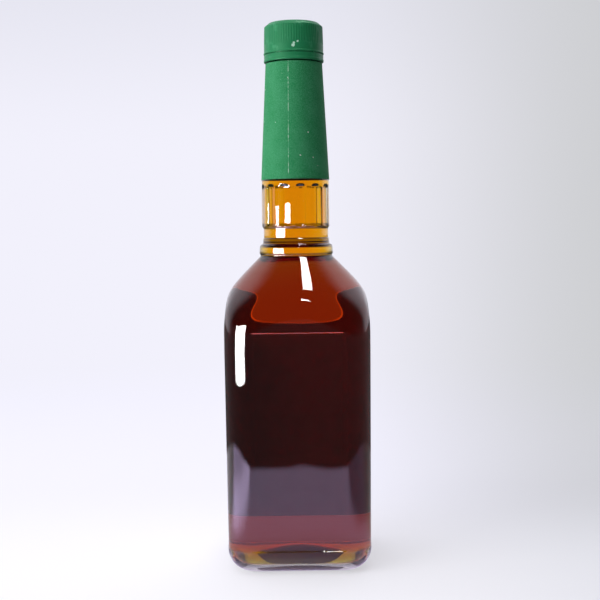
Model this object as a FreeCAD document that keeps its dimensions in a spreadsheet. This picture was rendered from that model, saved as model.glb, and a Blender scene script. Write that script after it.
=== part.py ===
# Square bourbon bottle, shut and full: glass, drink, neck paper, blank label and screw cap.
# Millimetres.  The origin is the middle of the flat ring that the bottle stands on, +Z is up,
# -Y is the bottle's back and +Y its front; the blank label covers the front and both sides.
import FreeCAD, Part
import math
import os
import Sketcher

Vector = FreeCAD.Vector

# Dimensions: alias, number or formula, meaning.  Lengths in mm, angles in degrees.  A formula
# starts with = and uses the aliases above and below it, so one change carries through.
SIZES = [
    ("overall_height", 290.0, "floor to the top of the cap"),
    ("body_width", 77.5, "across flats where the shoulder begins"),
    ("corner_radius", 16.8, "plan radius of the body's upright corners"),
    ("wall_draft", 0.31, "angle by which each wall closes in towards the base"),
    ("heel_radius", 11.0, "rounding between the walls and the base"),
    ("body_wall", 3.0, "glass wall of the body"),
    ("base_glass", 5.0, "glass under the lowest part of the drink"),
    ("inner_heel", "=heel_radius - 2", "rounding inside the base"),
    ("seat_width", 4.75, "from the heel to the dome under the base, before draft"),
    ("push_up", 4.0, "depth of the dome under the base"),
    ("push_up_radius", "=body_width / 2 - heel_radius - seat_width", "radius of that dome's rim"),
    ("push_up_knee", 0.55, "share of that radius where the dome flattens"),
    ("inner_dome", 3.5, "rise of the floor inside"),
    ("inner_dome_radius", "=push_up_radius - 1", "radius of that rise"),
    ("inner_dome_knee", 0.5, "share of that radius where the rise flattens"),
    ("knee_rise", 0.8, "share of either dome's height at its knee"),

    ("cap_height", 20.7, "the cap, lip to top"),
    ("cap_bottom", "=overall_height - cap_height", "lower edge of the cap"),
    ("sleeve_gap", 0.7, "glass left bare between the paper and the cap"),
    ("sleeve_length", 61.9, "the neck paper, edge to edge"),
    ("sleeve_top", "=cap_bottom - sleeve_gap", "upper edge of the neck paper"),
    ("sleeve_bottom", "=sleeve_top - sleeve_length", "lower edge of the neck paper"),
    ("neck_length", 42.0, "from the foot of the collar to the paper"),
    ("collar_base", "=sleeve_bottom - neck_length", "where the shoulder cone would reach the collar"),
    ("shoulder_turn", 30.35, "from the shoulder's start to where its cone would meet the wall"),
    ("shoulder_start", "=collar_base + collar_radius - body_width / 2 - shoulder_turn",
     "height where the corners begin to turn in"),
    ("cone_length", 7.2, "plain cone under the collar"),
    ("shoulder_end", "=collar_base - cone_length", "height where the shoulder is a plain cone"),
    ("blend_power", 11.6, "how tightly the square column and the cone blend"),
    ("fill_over_edge", 15.3, "how far the drink stands above the paper's lower edge"),
    ("fill_level", "=sleeve_bottom + fill_over_edge", "surface of the drink"),

    ("panel_depth", 0.35, "depth of the label panels"),
    ("panel_bottom", "=heel_radius + 1.8", "height of the panels' lower ledge"),
    ("panel_top", "=shoulder_start + 11", "height of the panels' upper ledge"),
    ("panel_cutter", 2.8, "length of the panels' cutter, enough to clear the wall"),
    ("side_count", 4, "sides of the body"),

    ("neck_radius", 17.5, "neck between the collar and the flutes"),
    ("neck_wall", 3.1, "glass wall of that neck"),
    ("neck_bore", "=neck_radius - neck_wall", "inside radius of the fluted neck"),
    ("throat_round", 12.0, "rounding inside, between the shoulder and the neck"),
    ("collar_radius", "=neck_radius + 2.9", "radius of the collar at its foot"),
    ("collar_top_radius", "=collar_radius - 0.7", "radius of the collar under its rounded top"),
    ("collar_height", 6.3, "height of the collar's side"),
    ("collar_foot_round", 2.2, "rounding between the shoulder and the collar"),
    ("collar_top_round", 1.8, "rounding of the collar's top"),
    ("ledge_height", 3.5, "from the collar's side to the foot of the ledge over it"),
    ("ledge_round", 0.8, "rounding at the foot of that ledge"),
    ("neck_foot", "=collar_base + collar_height + ledge_height + 1.5", "height where the neck begins"),
    ("band_bottom", "=neck_foot + 4.2", "height where the neck begins to widen to the flutes"),
    ("band_round", 2.0, "rounding there"),
    ("band_full", "=band_bottom + 2.4", "height where the fluted band has its full radius"),
    ("band_radius", "=neck_radius + 0.8", "neck outside the flutes"),
    ("flute_count", 13, "flutes round the neck"),
    ("flute_floor", "=neck_radius + 0.05", "radius at the bottom of a flute"),
    ("flute_cutter", 12.0, "radius of the flute's own curve"),
    ("flute_sweep", 52.0, "angle of the cutter that reaches into the glass"),
    ("flute_bottom", "=band_bottom + 0.6", "lowest point of a flute"),
    ("flute_top", "=sleeve_bottom - 2.4", "highest point of a flute"),
    ("flute_end", 2.0, "rounding at both ends of a flute"),
    ("flute_phase", 8.5, "angle from the back to the nearest flute"),

    ("finish_radius", 13.9, "outside radius of the mouth under the cap"),
    ("mouth_bore", "=finish_radius - 4.1", "inside radius of the mouth"),
    ("cone_bottom_radius", "=band_radius - 0.1", "glass at the paper's lower edge"),
    ("cone_top_radius", "=finish_radius + 1.15", "glass at the paper's upper edge"),
    ("paper", 0.25, "thickness of the neck paper, glue included"),
    ("seam_angle", -11.3, "where the paper's outer end shows, from the back"),
    ("flap_angle", 42.0, "how far the outer end lies over the inner one"),
    ("flap_lift", 0.6, "how much higher the outer end was glued"),
    ("flap_corner", 3.0, "rounding of the outer end's lower corner"),

    ("thread_room", 0.65, "room for the thread between the mouth and the cap"),
    ("cap_wall", 1.4, "thickness of the cap's skirt"),
    ("cap_radius", "=finish_radius + thread_room + cap_wall", "radius of the cap at its skirt"),
    ("cap_top_radius", "=cap_radius - 0.25", "radius of the cap under its bevel"),
    ("cap_roof", 1.8, "thickness of the cap's top"),
    ("bevel_height", 2.0, "height of the bevel round the cap's top"),
    ("bevel_inset", 2.4, "width of that bevel"),
    ("rib_count", 72, "grooves between the cap's fine grip ribs"),
    ("rib_groove", 0.32, "radius of each groove"),
    ("rib_bottom", "=cap_bottom + 8.7", "lower end of the ribs"),
    ("bead_height", "=cap_bottom + 4.6", "height of the bead over the tear line"),
    ("bead_half", 0.4, "half the height of the bead"),
    ("bead_proud", 0.25, "how far the bead stands out"),
    ("tear_width", 0.45, "height of the slit of the tear line"),
    ("tear_depth", 0.6, "depth of that slit"),
    ("bridge_count", 9, "bridges left across the tear line"),
    ("bridge_angle", 4.0, "width of each bridge"),
    ("lip_proud", 0.15, "how far the rolled lip of the skirt stands out"),
    ("lip_height", 1.1, "height of that lip"),
    ("lip_bevel", 0.4, "height of the lip's rounded foot"),
    ("lip_step", 0.3, "width of that foot, and height of the step over the lip"),

    ("label_back", "=body_width / 2 - corner_radius", "how far behind the middle the label ends"),
    ("label_bottom", "=panel_bottom + 5", "lower edge of the label"),
    ("label_top", "=panel_top - 0.3", "upper edge of the label"),
    ("label_paper", 0.2, "thickness of the label, glue included"),
    ("cutter_clear", 1.0, "how far cutters start outside the glass"),
]

SHOULDER_PLANS = 8  # plans through which the shoulder is lofted, above the square one
ARC_HALF = 22.5  # half the angle of each arc when the eight arcs of a plan make a circle

document = FreeCAD.newDocument("BourbonBottle")
sheet = document.addObject("Spreadsheet::Sheet", "Sizes")
for row, (alias, value, meaning) in enumerate(SIZES, start=1):
    sheet.set("A%d" % row, alias)
    sheet.set("B%d" % row, str(value))
    sheet.set("C%d" % row, meaning)
    sheet.setAlias("B%d" % row, alias)
document.recompute()


def size(alias):
    """The number that the sheet holds under this alias."""
    return float(sheet.get(alias))


def origin_feature(body, role):
    """A plane or axis of the body's own origin."""
    return [item for item in body.Origin.OriginFeatures if item.Role == role][0]


def new_body(name):
    return document.addObject("PartDesign::Body", name)


def new_sketch(body, name, role, offset=None):
    """A sketch on one of the body's origin planes, moved by expressions for x, y and z."""
    sketch = body.newObject("Sketcher::SketchObject", name)
    sketch.AttachmentSupport = [(origin_feature(body, role), "")]
    sketch.MapMode = "FlatFace"
    for axis, expression in (offset or {}).items():
        sketch.setExpression("AttachmentOffset.Base.%s" % axis, expression)
    return sketch


def bind(sketch, constraint, name, expression):
    """Add a dimension to the sketch and tie it to the sheet."""
    index = sketch.addConstraint(constraint)
    sketch.renameConstraint(index, name)
    sketch.setExpression("Constraints.%s" % name, expression)


def outline(sketch, corners):
    """A closed outline of straight lines.

    Each corner is (name, x, y): the coordinates are expressions of the sheet, or None for
    a coordinate that lies on the sketch's own axis.
    """
    values = [[0.0 if text is None else evaluate(text) for text in corner[1:]]
              for corner in corners]
    count = len(corners)
    for index in range(count):
        start = Vector(*values[index], 0)
        end = Vector(*values[(index + 1) % count], 0)
        sketch.addGeometry(Part.LineSegment(start, end), False)
    for index in range(count):
        sketch.addConstraint(Sketcher.Constraint("Coincident", index, 2, (index + 1) % count, 1))
    for index, (name, across, up) in enumerate(corners):
        for kind, text, axis in (("DistanceX", across, -2), ("DistanceY", up, -1)):
            if text is None:
                sketch.addConstraint(Sketcher.Constraint("PointOnObject", index, 1, axis))
                continue
            number = evaluate(text)
            rule = Sketcher.Constraint(kind, -1, 1, index, 1, number)
            bind(sketch, rule, "%s_%s" % (name, kind[-1]), text)


def evaluate(text):
    """The number that an expression of the sheet gives."""
    return float(sheet.evalExpression(text))


def heights(start, end, count):
    """Expressions for evenly spaced heights, both ends included."""
    step = "(Sizes.%s - Sizes.%s) / %d" % (end, start, count)
    return ["Sizes.%s + %d * %s" % (start, index, step) for index in range(count + 1)]


class Column:
    """The square column that turns into a round cone, drawn a given wall inside the glass."""

    def __init__(self, body, prefix, wall):
        self.body = body
        self.prefix = prefix
        self.half = "(Sizes.body_width / 2 - %s)" % wall
        self.corner = "(Sizes.corner_radius - %s)" % wall
        self.cone_foot = "(Sizes.collar_radius + Sizes.collar_base - sqrt(2) * %s)" % wall
        self.diagonal = "(sqrt(2) * (%s - %s) + %s)" % (self.half, self.corner, self.corner)

    def blend(self, flat, cone):
        """The smaller of the two radii, eased into the larger near the place where they meet."""
        power = "Sizes.blend_power"
        return "((%s)^(-%s) + (%s)^(-%s))^(-1 / %s)" % (flat, power, cone, power, power)

    def square(self, height):
        """The plain plan of the column: four straight sides and four corner arcs."""
        sketch = new_sketch(self.body, self.prefix + "Square", "XY_Plane", {"z": height})
        half = evaluate(self.half)
        corner = evaluate(self.corner)
        flat = half - corner
        for quarter in range(4):
            turn = FreeCAD.Rotation(Vector(0, 0, 1), 90 * quarter)
            start = turn.multVec(Vector(half, -flat, 0))
            end = turn.multVec(Vector(half, flat, 0))
            centre = turn.multVec(Vector(flat, flat, 0))
            first = math.radians(90 * quarter)
            circle = Part.Circle(centre, Vector(0, 0, 1), corner)
            sketch.addGeometry(Part.LineSegment(start, end), False)
            sketch.addGeometry(Part.ArcOfCircle(circle, first, first + math.pi / 2), False)
        join_tangent(sketch, 8)
        for quarter, (rule, name, axis) in enumerate(SIDES):
            distance = half if quarter in (0, 1) else -half
            place = Sketcher.Constraint(rule, -1, 1, 2 * quarter, 1, distance)
            bind(sketch, place, name, "%s%s" % ("" if distance > 0 else "-", self.half))
            sketch.addConstraint(Sketcher.Constraint(axis, 2 * quarter))
        for quarter in range(1, 4):
            sketch.addConstraint(Sketcher.Constraint("Equal", 1, 2 * quarter + 1))
        bind(sketch, Sketcher.Constraint("Radius", 1, corner), "corner", self.corner)
        return sketch

    def section(self, index, height):
        """A plan part of the way up: eight arcs whose sides swell as the corners turn in."""
        cone = "(%s - (%s))" % (self.cone_foot, height)
        side = self.blend(self.half, cone)
        diagonal = self.blend(self.diagonal, cone)
        spread = "(%s - %s)" % (diagonal, side)
        round_share = "(1 - %s / (%s - %s))" % (spread, self.diagonal, self.half)
        turn = "(%s * %s)" % (ARC_HALF, round_share)
        lever = "(%s / ((sqrt(2) - 1) * sin(%s) - 1 + cos(%s)))" % (spread, turn, turn)
        corner = "(%s - %s * (1 - cos(%s) + sin(%s)))" % (side, lever, turn, turn)
        swell = "(%s + %s)" % (corner, lever)
        setback = "(%s - %s)" % (swell, side)

        sketch = new_sketch(self.body, "%sPlan%d" % (self.prefix, index), "XY_Plane", {"z": height})
        angle = math.radians(evaluate(turn))
        corner_centre = evaluate(lever) * math.sin(angle)
        for quarter in range(4):
            middle = math.pi / 2 * quarter
            back = Vector(-math.cos(middle), -math.sin(middle), 0) * evaluate(setback)
            side_circle = Part.Circle(back, Vector(0, 0, 1), evaluate(swell))
            sketch.addGeometry(Part.ArcOfCircle(side_circle, middle - angle, middle + angle), False)
            place = FreeCAD.Rotation(Vector(0, 0, 1), 90 * quarter)
            centre = place.multVec(Vector(corner_centre, corner_centre, 0))
            corner_circle = Part.Circle(centre, Vector(0, 0, 1), evaluate(corner))
            arc = Part.ArcOfCircle(corner_circle, middle + angle, middle + math.pi / 2 - angle)
            sketch.addGeometry(arc, False)
        join_tangent(sketch, 8)
        for quarter, (rule, name, _) in enumerate(SIDES):
            sign = "-" if quarter in (0, 1) else ""
            distance = evaluate(sign + setback)
            other_axis = -1 if rule == "DistanceX" else -2
            place = Sketcher.Constraint(rule, -1, 1, 2 * quarter, 3, distance)
            bind(sketch, place, name, sign + setback)
            sketch.addConstraint(Sketcher.Constraint("PointOnObject", 2 * quarter, 3, other_axis))
        for quarter in range(1, 4):
            sketch.addConstraint(Sketcher.Constraint("Equal", 0, 2 * quarter))
            sketch.addConstraint(Sketcher.Constraint("Equal", 1, 2 * quarter + 1))
        bind(sketch, Sketcher.Constraint("Radius", 0, evaluate(swell)), "swell", swell)
        bind(sketch, Sketcher.Constraint("Radius", 1, evaluate(corner)), "corner", corner)
        return sketch

    def ring(self, height):
        """The round plan at the top of the shoulder."""
        radius = self.blend(self.half, "(%s - (%s))" % (self.cone_foot, height))
        sketch = new_sketch(self.body, self.prefix + "Ring", "XY_Plane", {"z": height})
        circle = Part.Circle(Vector(0, 0, 0), Vector(0, 0, 1), evaluate(radius))
        sketch.addGeometry(circle, False)
        sketch.addConstraint(Sketcher.Constraint("Coincident", 0, 3, -1, 1))
        bind(sketch, Sketcher.Constraint("Radius", 0, evaluate(radius)), "radius", radius)
        return sketch

    def build(self, floor, heel):
        """Walls with their draft and rounded heel, then the shoulder."""
        levels = heights("shoulder_start", "shoulder_end", SHOULDER_PLANS)
        square = self.square(levels[0])
        walls = self.body.newObject("PartDesign::Pad", self.prefix + "Walls")
        walls.Profile = square
        walls.Reversed = True
        walls.setExpression("Length", "Sizes.shoulder_start - %s" % floor)
        walls.setExpression("TaperAngle", "-Sizes.wall_draft")
        document.recompute()
        plans = [self.section(index, levels[index]) for index in range(1, SHOULDER_PLANS)]
        plans.append(self.ring(levels[SHOULDER_PLANS]))
        shoulder = self.body.newObject("PartDesign::AdditiveLoft", self.prefix + "Shoulder")
        shoulder.Profile = square
        shoulder.Sections = plans
        document.recompute()
        low = evaluate(floor)
        edges = [name for name, edge in named_edges(shoulder)
                 if abs(edge.BoundBox.ZMax - low) < 0.01]
        rounding = self.body.newObject("PartDesign::Fillet", self.prefix + "Heel")
        rounding.Base = (shoulder, edges)
        rounding.setExpression("Radius", heel)
        document.recompute()
        return rounding


SIDES = [("DistanceX", "right", "Vertical"), ("DistanceY", "front", "Horizontal"),
         ("DistanceX", "left", "Vertical"), ("DistanceY", "back", "Horizontal")]


def join_tangent(sketch, count):
    """Join each edge to the next, end to start, without a kink."""
    for index in range(count):
        rule = Sketcher.Constraint("Tangent", index, 2, (index + 1) % count, 1)
        sketch.addConstraint(rule)


def named_edges(feature):
    return [("Edge%d" % number, edge) for number, edge in enumerate(feature.Shape.Edges, start=1)]


def revolve(body, name, corners, cut=False, rounds=()):
    """Turn an outline round the body's upright axis; each round is (corner, radius)."""
    sketch = new_sketch(body, name + "Outline", "XZ_Plane")
    outline(sketch, corners)
    kind = "PartDesign::Groove" if cut else "PartDesign::Revolution"
    turned = body.newObject(kind, name)
    turned.Profile = sketch
    turned.ReferenceAxis = (sketch, ["V_Axis"])
    turned.Angle = 360
    document.recompute()
    for corner, radius in rounds:
        place = [(across, up) for label, across, up in corners if label == corner][0]
        turned = round_ring(body, name + corner.title(), turned, place, radius)
    return turned


def round_ring(body, name, base, place, radius):
    """Fillet the circular edges that pass through the given radius and height."""
    across, up = [evaluate(text) for text in place]
    edges = [label for label, edge in named_edges(base)
             if abs(edge.BoundBox.ZMax - up) < 0.01 and abs(edge.BoundBox.ZMin - up) < 0.01
             and abs(math.hypot(edge.Vertexes[0].X, edge.Vertexes[0].Y) - across) < 0.01]
    rounding = body.newObject("PartDesign::Fillet", name)
    rounding.Base = (base, edges)
    rounding.setExpression("Radius", radius)
    document.recompute()
    return rounding


def around(body, name, feature, count):
    """Repeat a feature round the upright axis."""
    pattern = body.newObject("PartDesign::PolarPattern", name)
    pattern.Originals = [feature]
    pattern.Axis = (origin_feature(body, "Z_Axis"), [""])
    pattern.Angle = 360
    pattern.setExpression("Occurrences", count)
    body.Tip = pattern
    document.recompute()
    return pattern


def rectangle(sketch, left, right, bottom, top):
    """A rectangle given by expressions for its four sides."""
    outline(sketch, [("a", left, bottom), ("b", right, bottom), ("c", right, top), ("d", left, top)])


def build_glass_outer():
    """The outside of the bottle as one solid: walls, shoulder, collar, fluted neck, mouth."""
    body = new_body("GlassOuter")
    column = Column(body, "Outer", "0")
    column.build("0", "Sizes.heel_radius")
    ring = column.blend(column.half, "(%s - Sizes.shoulder_end)" % column.cone_foot)
    collar_top = "Sizes.collar_base + Sizes.collar_height"
    revolve(body, "Neck", [
        ("foot", None, "Sizes.shoulder_end"),
        ("ring", ring, "Sizes.shoulder_end"),
        ("collar", "Sizes.collar_radius", "Sizes.collar_base"),
        ("collartop", "Sizes.collar_top_radius", collar_top),
        ("ledge", "Sizes.neck_radius", "Sizes.collar_base + Sizes.collar_height + Sizes.ledge_height"),
        ("neck", "Sizes.neck_radius", "Sizes.neck_foot"),
        ("band", "Sizes.neck_radius", "Sizes.band_bottom"),
        ("full", "Sizes.band_radius", "Sizes.band_full"),
        ("paper", "Sizes.cone_bottom_radius", "Sizes.sleeve_bottom"),
        ("cone", "Sizes.cone_top_radius", "Sizes.sleeve_top"),
        ("step", "Sizes.finish_radius", "Sizes.cap_bottom"),
        ("lip", "Sizes.finish_radius", "Sizes.overall_height - Sizes.cap_roof"),
        ("top", None, "Sizes.overall_height - Sizes.cap_roof"),
    ], rounds=[("collar", "Sizes.collar_foot_round"), ("collartop", "Sizes.collar_top_round"),
               ("ledge", "Sizes.ledge_round"), ("band", "Sizes.band_round")])
    cut_flutes(body)
    cut_panels(body)
    revolve(body, "PushUp", [
        ("rim", "Sizes.push_up_radius", "-Sizes.cutter_clear"),
        ("edge", "Sizes.push_up_radius", "0"),
        ("slope", "Sizes.push_up_radius * Sizes.push_up_knee", "Sizes.push_up * Sizes.knee_rise"),
        ("crown", None, "Sizes.push_up"),
        ("below", None, "-Sizes.cutter_clear"),
    ], cut=True)
    return body


def cut_flutes(body):
    """Scallops with rounded ends, cut by an upright cutter that goes round the neck."""
    axis = "(Sizes.flute_floor + Sizes.flute_cutter)"
    sketch = new_sketch(body, "FluteOutline", "XZ_Plane", {
        "x": "%s * sin(Sizes.flute_phase)" % axis,
        "z": "%s * cos(Sizes.flute_phase)" % axis,
    })
    facing = "90 + Sizes.flute_phase"
    sketch.AttachmentOffset = FreeCAD.Placement(
        sketch.AttachmentOffset.Base, FreeCAD.Rotation(Vector(0, 1, 0), evaluate(facing)))
    sketch.setExpression("AttachmentOffset.Rotation.Angle", facing)
    inner = "Sizes.flute_cutter - Sizes.flute_end"
    low = "Sizes.flute_bottom + Sizes.flute_end"
    high = "Sizes.flute_top - Sizes.flute_end"
    points = [Vector(evaluate(across or "0"), evaluate(up), 0) for across, up in [
        (None, "Sizes.flute_bottom"), (inner, "Sizes.flute_bottom"),
        ("Sizes.flute_cutter", low), ("Sizes.flute_cutter", high),
        (inner, "Sizes.flute_top"), (None, "Sizes.flute_top")]]
    end = size("flute_end")
    low_circle = Part.Circle(points[1] + Vector(0, end, 0), Vector(0, 0, 1), end)
    high_circle = Part.Circle(points[4] - Vector(0, end, 0), Vector(0, 0, 1), end)
    sketch.addGeometry(Part.LineSegment(points[0], points[1]), False)
    sketch.addGeometry(Part.ArcOfCircle(low_circle, -math.pi / 2, 0), False)
    sketch.addGeometry(Part.LineSegment(points[2], points[3]), False)
    sketch.addGeometry(Part.ArcOfCircle(high_circle, 0, math.pi / 2), False)
    sketch.addGeometry(Part.LineSegment(points[4], points[5]), False)
    sketch.addGeometry(Part.LineSegment(points[5], points[0]), False)
    for index in range(4):
        sketch.addConstraint(Sketcher.Constraint("Tangent", index, 2, index + 1, 1))
    sketch.addConstraint(Sketcher.Constraint("Coincident", 4, 2, 5, 1))
    sketch.addConstraint(Sketcher.Constraint("Coincident", 5, 2, 0, 1))
    sketch.addConstraint(Sketcher.Constraint("PointOnObject", 0, 1, -2))
    sketch.addConstraint(Sketcher.Constraint("PointOnObject", 4, 2, -2))
    sketch.addConstraint(Sketcher.Constraint("Horizontal", 0))
    sketch.addConstraint(Sketcher.Constraint("Vertical", 2))
    sketch.addConstraint(Sketcher.Constraint("Equal", 1, 3))
    for kind, geometry, point, name, text in (
            ("DistanceY", 0, 1, "bottom", "Sizes.flute_bottom"),
            ("DistanceY", 4, 2, "top", "Sizes.flute_top"),
            ("DistanceX", 2, 1, "cutter", "Sizes.flute_cutter")):
        rule = Sketcher.Constraint(kind, -1, 1, geometry, point, evaluate(text))
        bind(sketch, rule, name, text)
    bind(sketch, Sketcher.Constraint("Radius", 1, end), "rounding", "Sizes.flute_end")
    flute = body.newObject("PartDesign::Groove", "Flute")
    flute.Profile = sketch
    flute.ReferenceAxis = (sketch, ["V_Axis"])
    flute.Midplane = True
    flute.setExpression("Angle", "Sizes.flute_sweep")
    document.recompute()
    around(body, "Flutes", flute, "Sizes.flute_count")


def panel_sketch(body, name, depth):
    """A sketch that lies along the back wall, as far inside it as the given depth."""
    sketch = new_sketch(body, name, "XZ_Plane", {
        "y": "Sizes.shoulder_start",
        "z": "Sizes.body_width / 2 - %s" % depth,
    })
    sketch.AttachmentOffset = FreeCAD.Placement(
        sketch.AttachmentOffset.Base, FreeCAD.Rotation(Vector(1, 0, 0), size("wall_draft")))
    sketch.setExpression("AttachmentOffset.Rotation.Angle", "Sizes.wall_draft")
    return sketch


def cut_panels(body):
    """Four shallow label panels, each ending in a ledge above and below."""
    sketch = panel_sketch(body, "PanelOutline", "Sizes.panel_depth")
    reach = "Sizes.body_width / 2 - Sizes.corner_radius / 2"
    rectangle(sketch, "-(%s)" % reach, reach, "Sizes.panel_bottom - Sizes.shoulder_start",
              "Sizes.panel_top - Sizes.shoulder_start")
    panel = body.newObject("PartDesign::Pocket", "Panel")
    panel.Profile = sketch
    panel.Reversed = True
    panel.setExpression("Length", "Sizes.panel_cutter")
    document.recompute()
    around(body, "Panels", panel, "Sizes.side_count")


def build_cavity():
    """The space inside the glass, from the floor to the open mouth."""
    body = new_body("GlassInner")
    wall = "Sizes.body_wall"
    column = Column(body, "Inner", wall)
    column.build("Sizes.base_glass", "Sizes.inner_heel")
    ring = column.blend(column.half, "(%s - Sizes.shoulder_end)" % column.cone_foot)
    cone_top = "(%s - Sizes.neck_bore)" % column.cone_foot
    revolve(body, "Bore", [
        ("foot", None, "Sizes.shoulder_end"),
        ("ring", ring, "Sizes.shoulder_end"),
        ("throat", "Sizes.neck_bore", cone_top),
        ("waist", "Sizes.neck_bore", "Sizes.sleeve_bottom"),
        ("mouth", "Sizes.mouth_bore", "Sizes.sleeve_top"),
        ("lip", "Sizes.mouth_bore", "Sizes.overall_height - Sizes.cap_roof"),
        ("top", None, "Sizes.overall_height - Sizes.cap_roof"),
    ], rounds=[("throat", "Sizes.throat_round")])
    revolve(body, "InnerDome", [
        ("below", None, "Sizes.base_glass - Sizes.cutter_clear"),
        ("rim", "Sizes.inner_dome_radius", "Sizes.base_glass - Sizes.cutter_clear"),
        ("edge", "Sizes.inner_dome_radius", "Sizes.base_glass"),
        ("slope", "Sizes.inner_dome_radius * Sizes.inner_dome_knee",
         "Sizes.base_glass + Sizes.inner_dome * Sizes.knee_rise"),
        ("crown", None, "Sizes.base_glass + Sizes.inner_dome"),
    ], cut=True)
    return body


def build_cap():
    """The screw cap: bevelled top, ribbed skirt, bead, tear line with bridges, rolled lip."""
    body = new_body("Cap")
    body.Label = "cap"
    bore = "Sizes.cap_radius - Sizes.cap_wall"
    roof = "Sizes.overall_height - Sizes.cap_roof"
    bevel = "Sizes.overall_height - Sizes.bevel_height"
    bead = "Sizes.bead_height"
    lip = "Sizes.cap_radius + Sizes.lip_proud"
    revolve(body, "Shell", [
        ("axis", None, roof),
        ("ceiling", bore, roof),
        ("mouth", bore, "Sizes.cap_bottom"),
        ("lipin", "Sizes.cap_radius - Sizes.lip_step", "Sizes.cap_bottom"),
        ("lip", lip, "Sizes.cap_bottom + Sizes.lip_bevel"),
        ("liptop", lip, "Sizes.cap_bottom + Sizes.lip_height"),
        ("band", "Sizes.cap_radius", "Sizes.cap_bottom + Sizes.lip_height + Sizes.lip_step"),
        ("beadfoot", "Sizes.cap_radius", bead + " - Sizes.bead_half"),
        ("bead", "Sizes.cap_radius + Sizes.bead_proud", bead),
        ("beadtop", "Sizes.cap_radius", bead + " + Sizes.bead_half"),
        ("skirt", "Sizes.cap_radius", "Sizes.rib_bottom"),
        ("shoulder", "Sizes.cap_top_radius", bevel),
        ("rim", "Sizes.cap_top_radius - Sizes.bevel_inset", "Sizes.overall_height"),
        ("top", None, "Sizes.overall_height"),
    ])
    cut_tear_line(body)
    sketch = new_sketch(body, "RibOutline", "XY_Plane", {"z": "Sizes.rib_bottom"})
    centre = Vector(0, -size("cap_radius"), 0)
    groove = size("rib_groove")
    sketch.addGeometry(Part.Circle(centre, Vector(0, 0, 1), groove), False)
    sketch.addConstraint(Sketcher.Constraint("PointOnObject", 0, 3, -2))
    place = Sketcher.Constraint("DistanceY", -1, 1, 0, 3, centre.y)
    bind(sketch, place, "place", "-Sizes.cap_radius")
    bind(sketch, Sketcher.Constraint("Radius", 0, groove), "groove", "Sizes.rib_groove")
    rib = body.newObject("PartDesign::Pocket", "Rib")
    rib.Profile = sketch
    rib.Reversed = True
    rib.setExpression("Length", "%s - Sizes.rib_bottom" % bevel)
    document.recompute()
    around(body, "Ribs", rib, "Sizes.rib_count")
    return body


def cut_tear_line(body):
    """The slit under the bead, in arcs with a bridge between each two."""
    sketch = new_sketch(body, "TearOutline", "XZ_Plane")
    top = "Sizes.bead_height - Sizes.bead_half"
    rectangle(sketch, "Sizes.cap_radius - Sizes.tear_depth", "Sizes.cap_radius + Sizes.cutter_clear",
              top + " - Sizes.tear_width", top)
    slit = body.newObject("PartDesign::Groove", "Tear")
    slit.Profile = sketch
    slit.ReferenceAxis = (sketch, ["V_Axis"])
    slit.setExpression("Angle", "360 / Sizes.bridge_count - Sizes.bridge_angle")
    document.recompute()
    around(body, "Tears", slit, "Sizes.bridge_count")


def build_sleeve():
    """The paper round the neck, wrapped once, its outer end lying over the inner one."""
    body = new_body("Sleeve")
    body.Label = "neck_sleeve"
    revolve(body, "Wrap", cone_band("0", "Sizes.sleeve_bottom", "Sizes.sleeve_top"))
    sketch = new_sketch(body, "FlapOutline", "XZ_Plane")
    turn = "Sizes.seam_angle + Sizes.flap_angle / 2"
    outline(sketch, cone_band("Sizes.paper", "Sizes.sleeve_bottom + Sizes.flap_lift",
                              "Sizes.sleeve_top"))
    sketch.AttachmentOffset = FreeCAD.Placement(
        Vector(), FreeCAD.Rotation(Vector(0, 1, 0), evaluate(turn) - 90))
    sketch.setExpression("AttachmentOffset.Rotation.Angle", "%s - 90" % turn)
    flap = body.newObject("PartDesign::Revolution", "Flap")
    flap.Profile = sketch
    flap.ReferenceAxis = (sketch, ["V_Axis"])
    flap.Midplane = True
    flap.setExpression("Angle", "Sizes.flap_angle")
    document.recompute()
    bottom = evaluate("Sizes.sleeve_bottom + Sizes.flap_lift")
    corner = [name for name, edge in named_edges(flap)
              if abs(edge.Length - size("paper")) < 0.1 * size("paper") and edge.BoundBox.XMax < 0
              and abs(edge.BoundBox.ZMin - bottom) < size("paper")]
    rounding = body.newObject("PartDesign::Fillet", "FlapCorner")
    rounding.Base = (flap, corner)
    rounding.setExpression("Radius", "Sizes.flap_corner")
    document.recompute()
    return body


def cone_band(lift, bottom, top):
    """A band of paper's thickness on the neck's cone, lifted off it by some thickness."""
    slope = "(Sizes.cone_bottom_radius - Sizes.cone_top_radius)"
    rise = "(Sizes.sleeve_top - Sizes.sleeve_bottom)"
    radii = ["Sizes.cone_top_radius + %s * (Sizes.sleeve_top - (%s)) / %s + %s"
             % (slope, level, rise, lift) for level in (bottom, top)]
    return [("insidelow", radii[0], bottom), ("outsidelow", radii[0] + " + Sizes.paper", bottom),
            ("outsidetop", radii[1] + " + Sizes.paper", top), ("insidetop", radii[1], top)]


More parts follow.
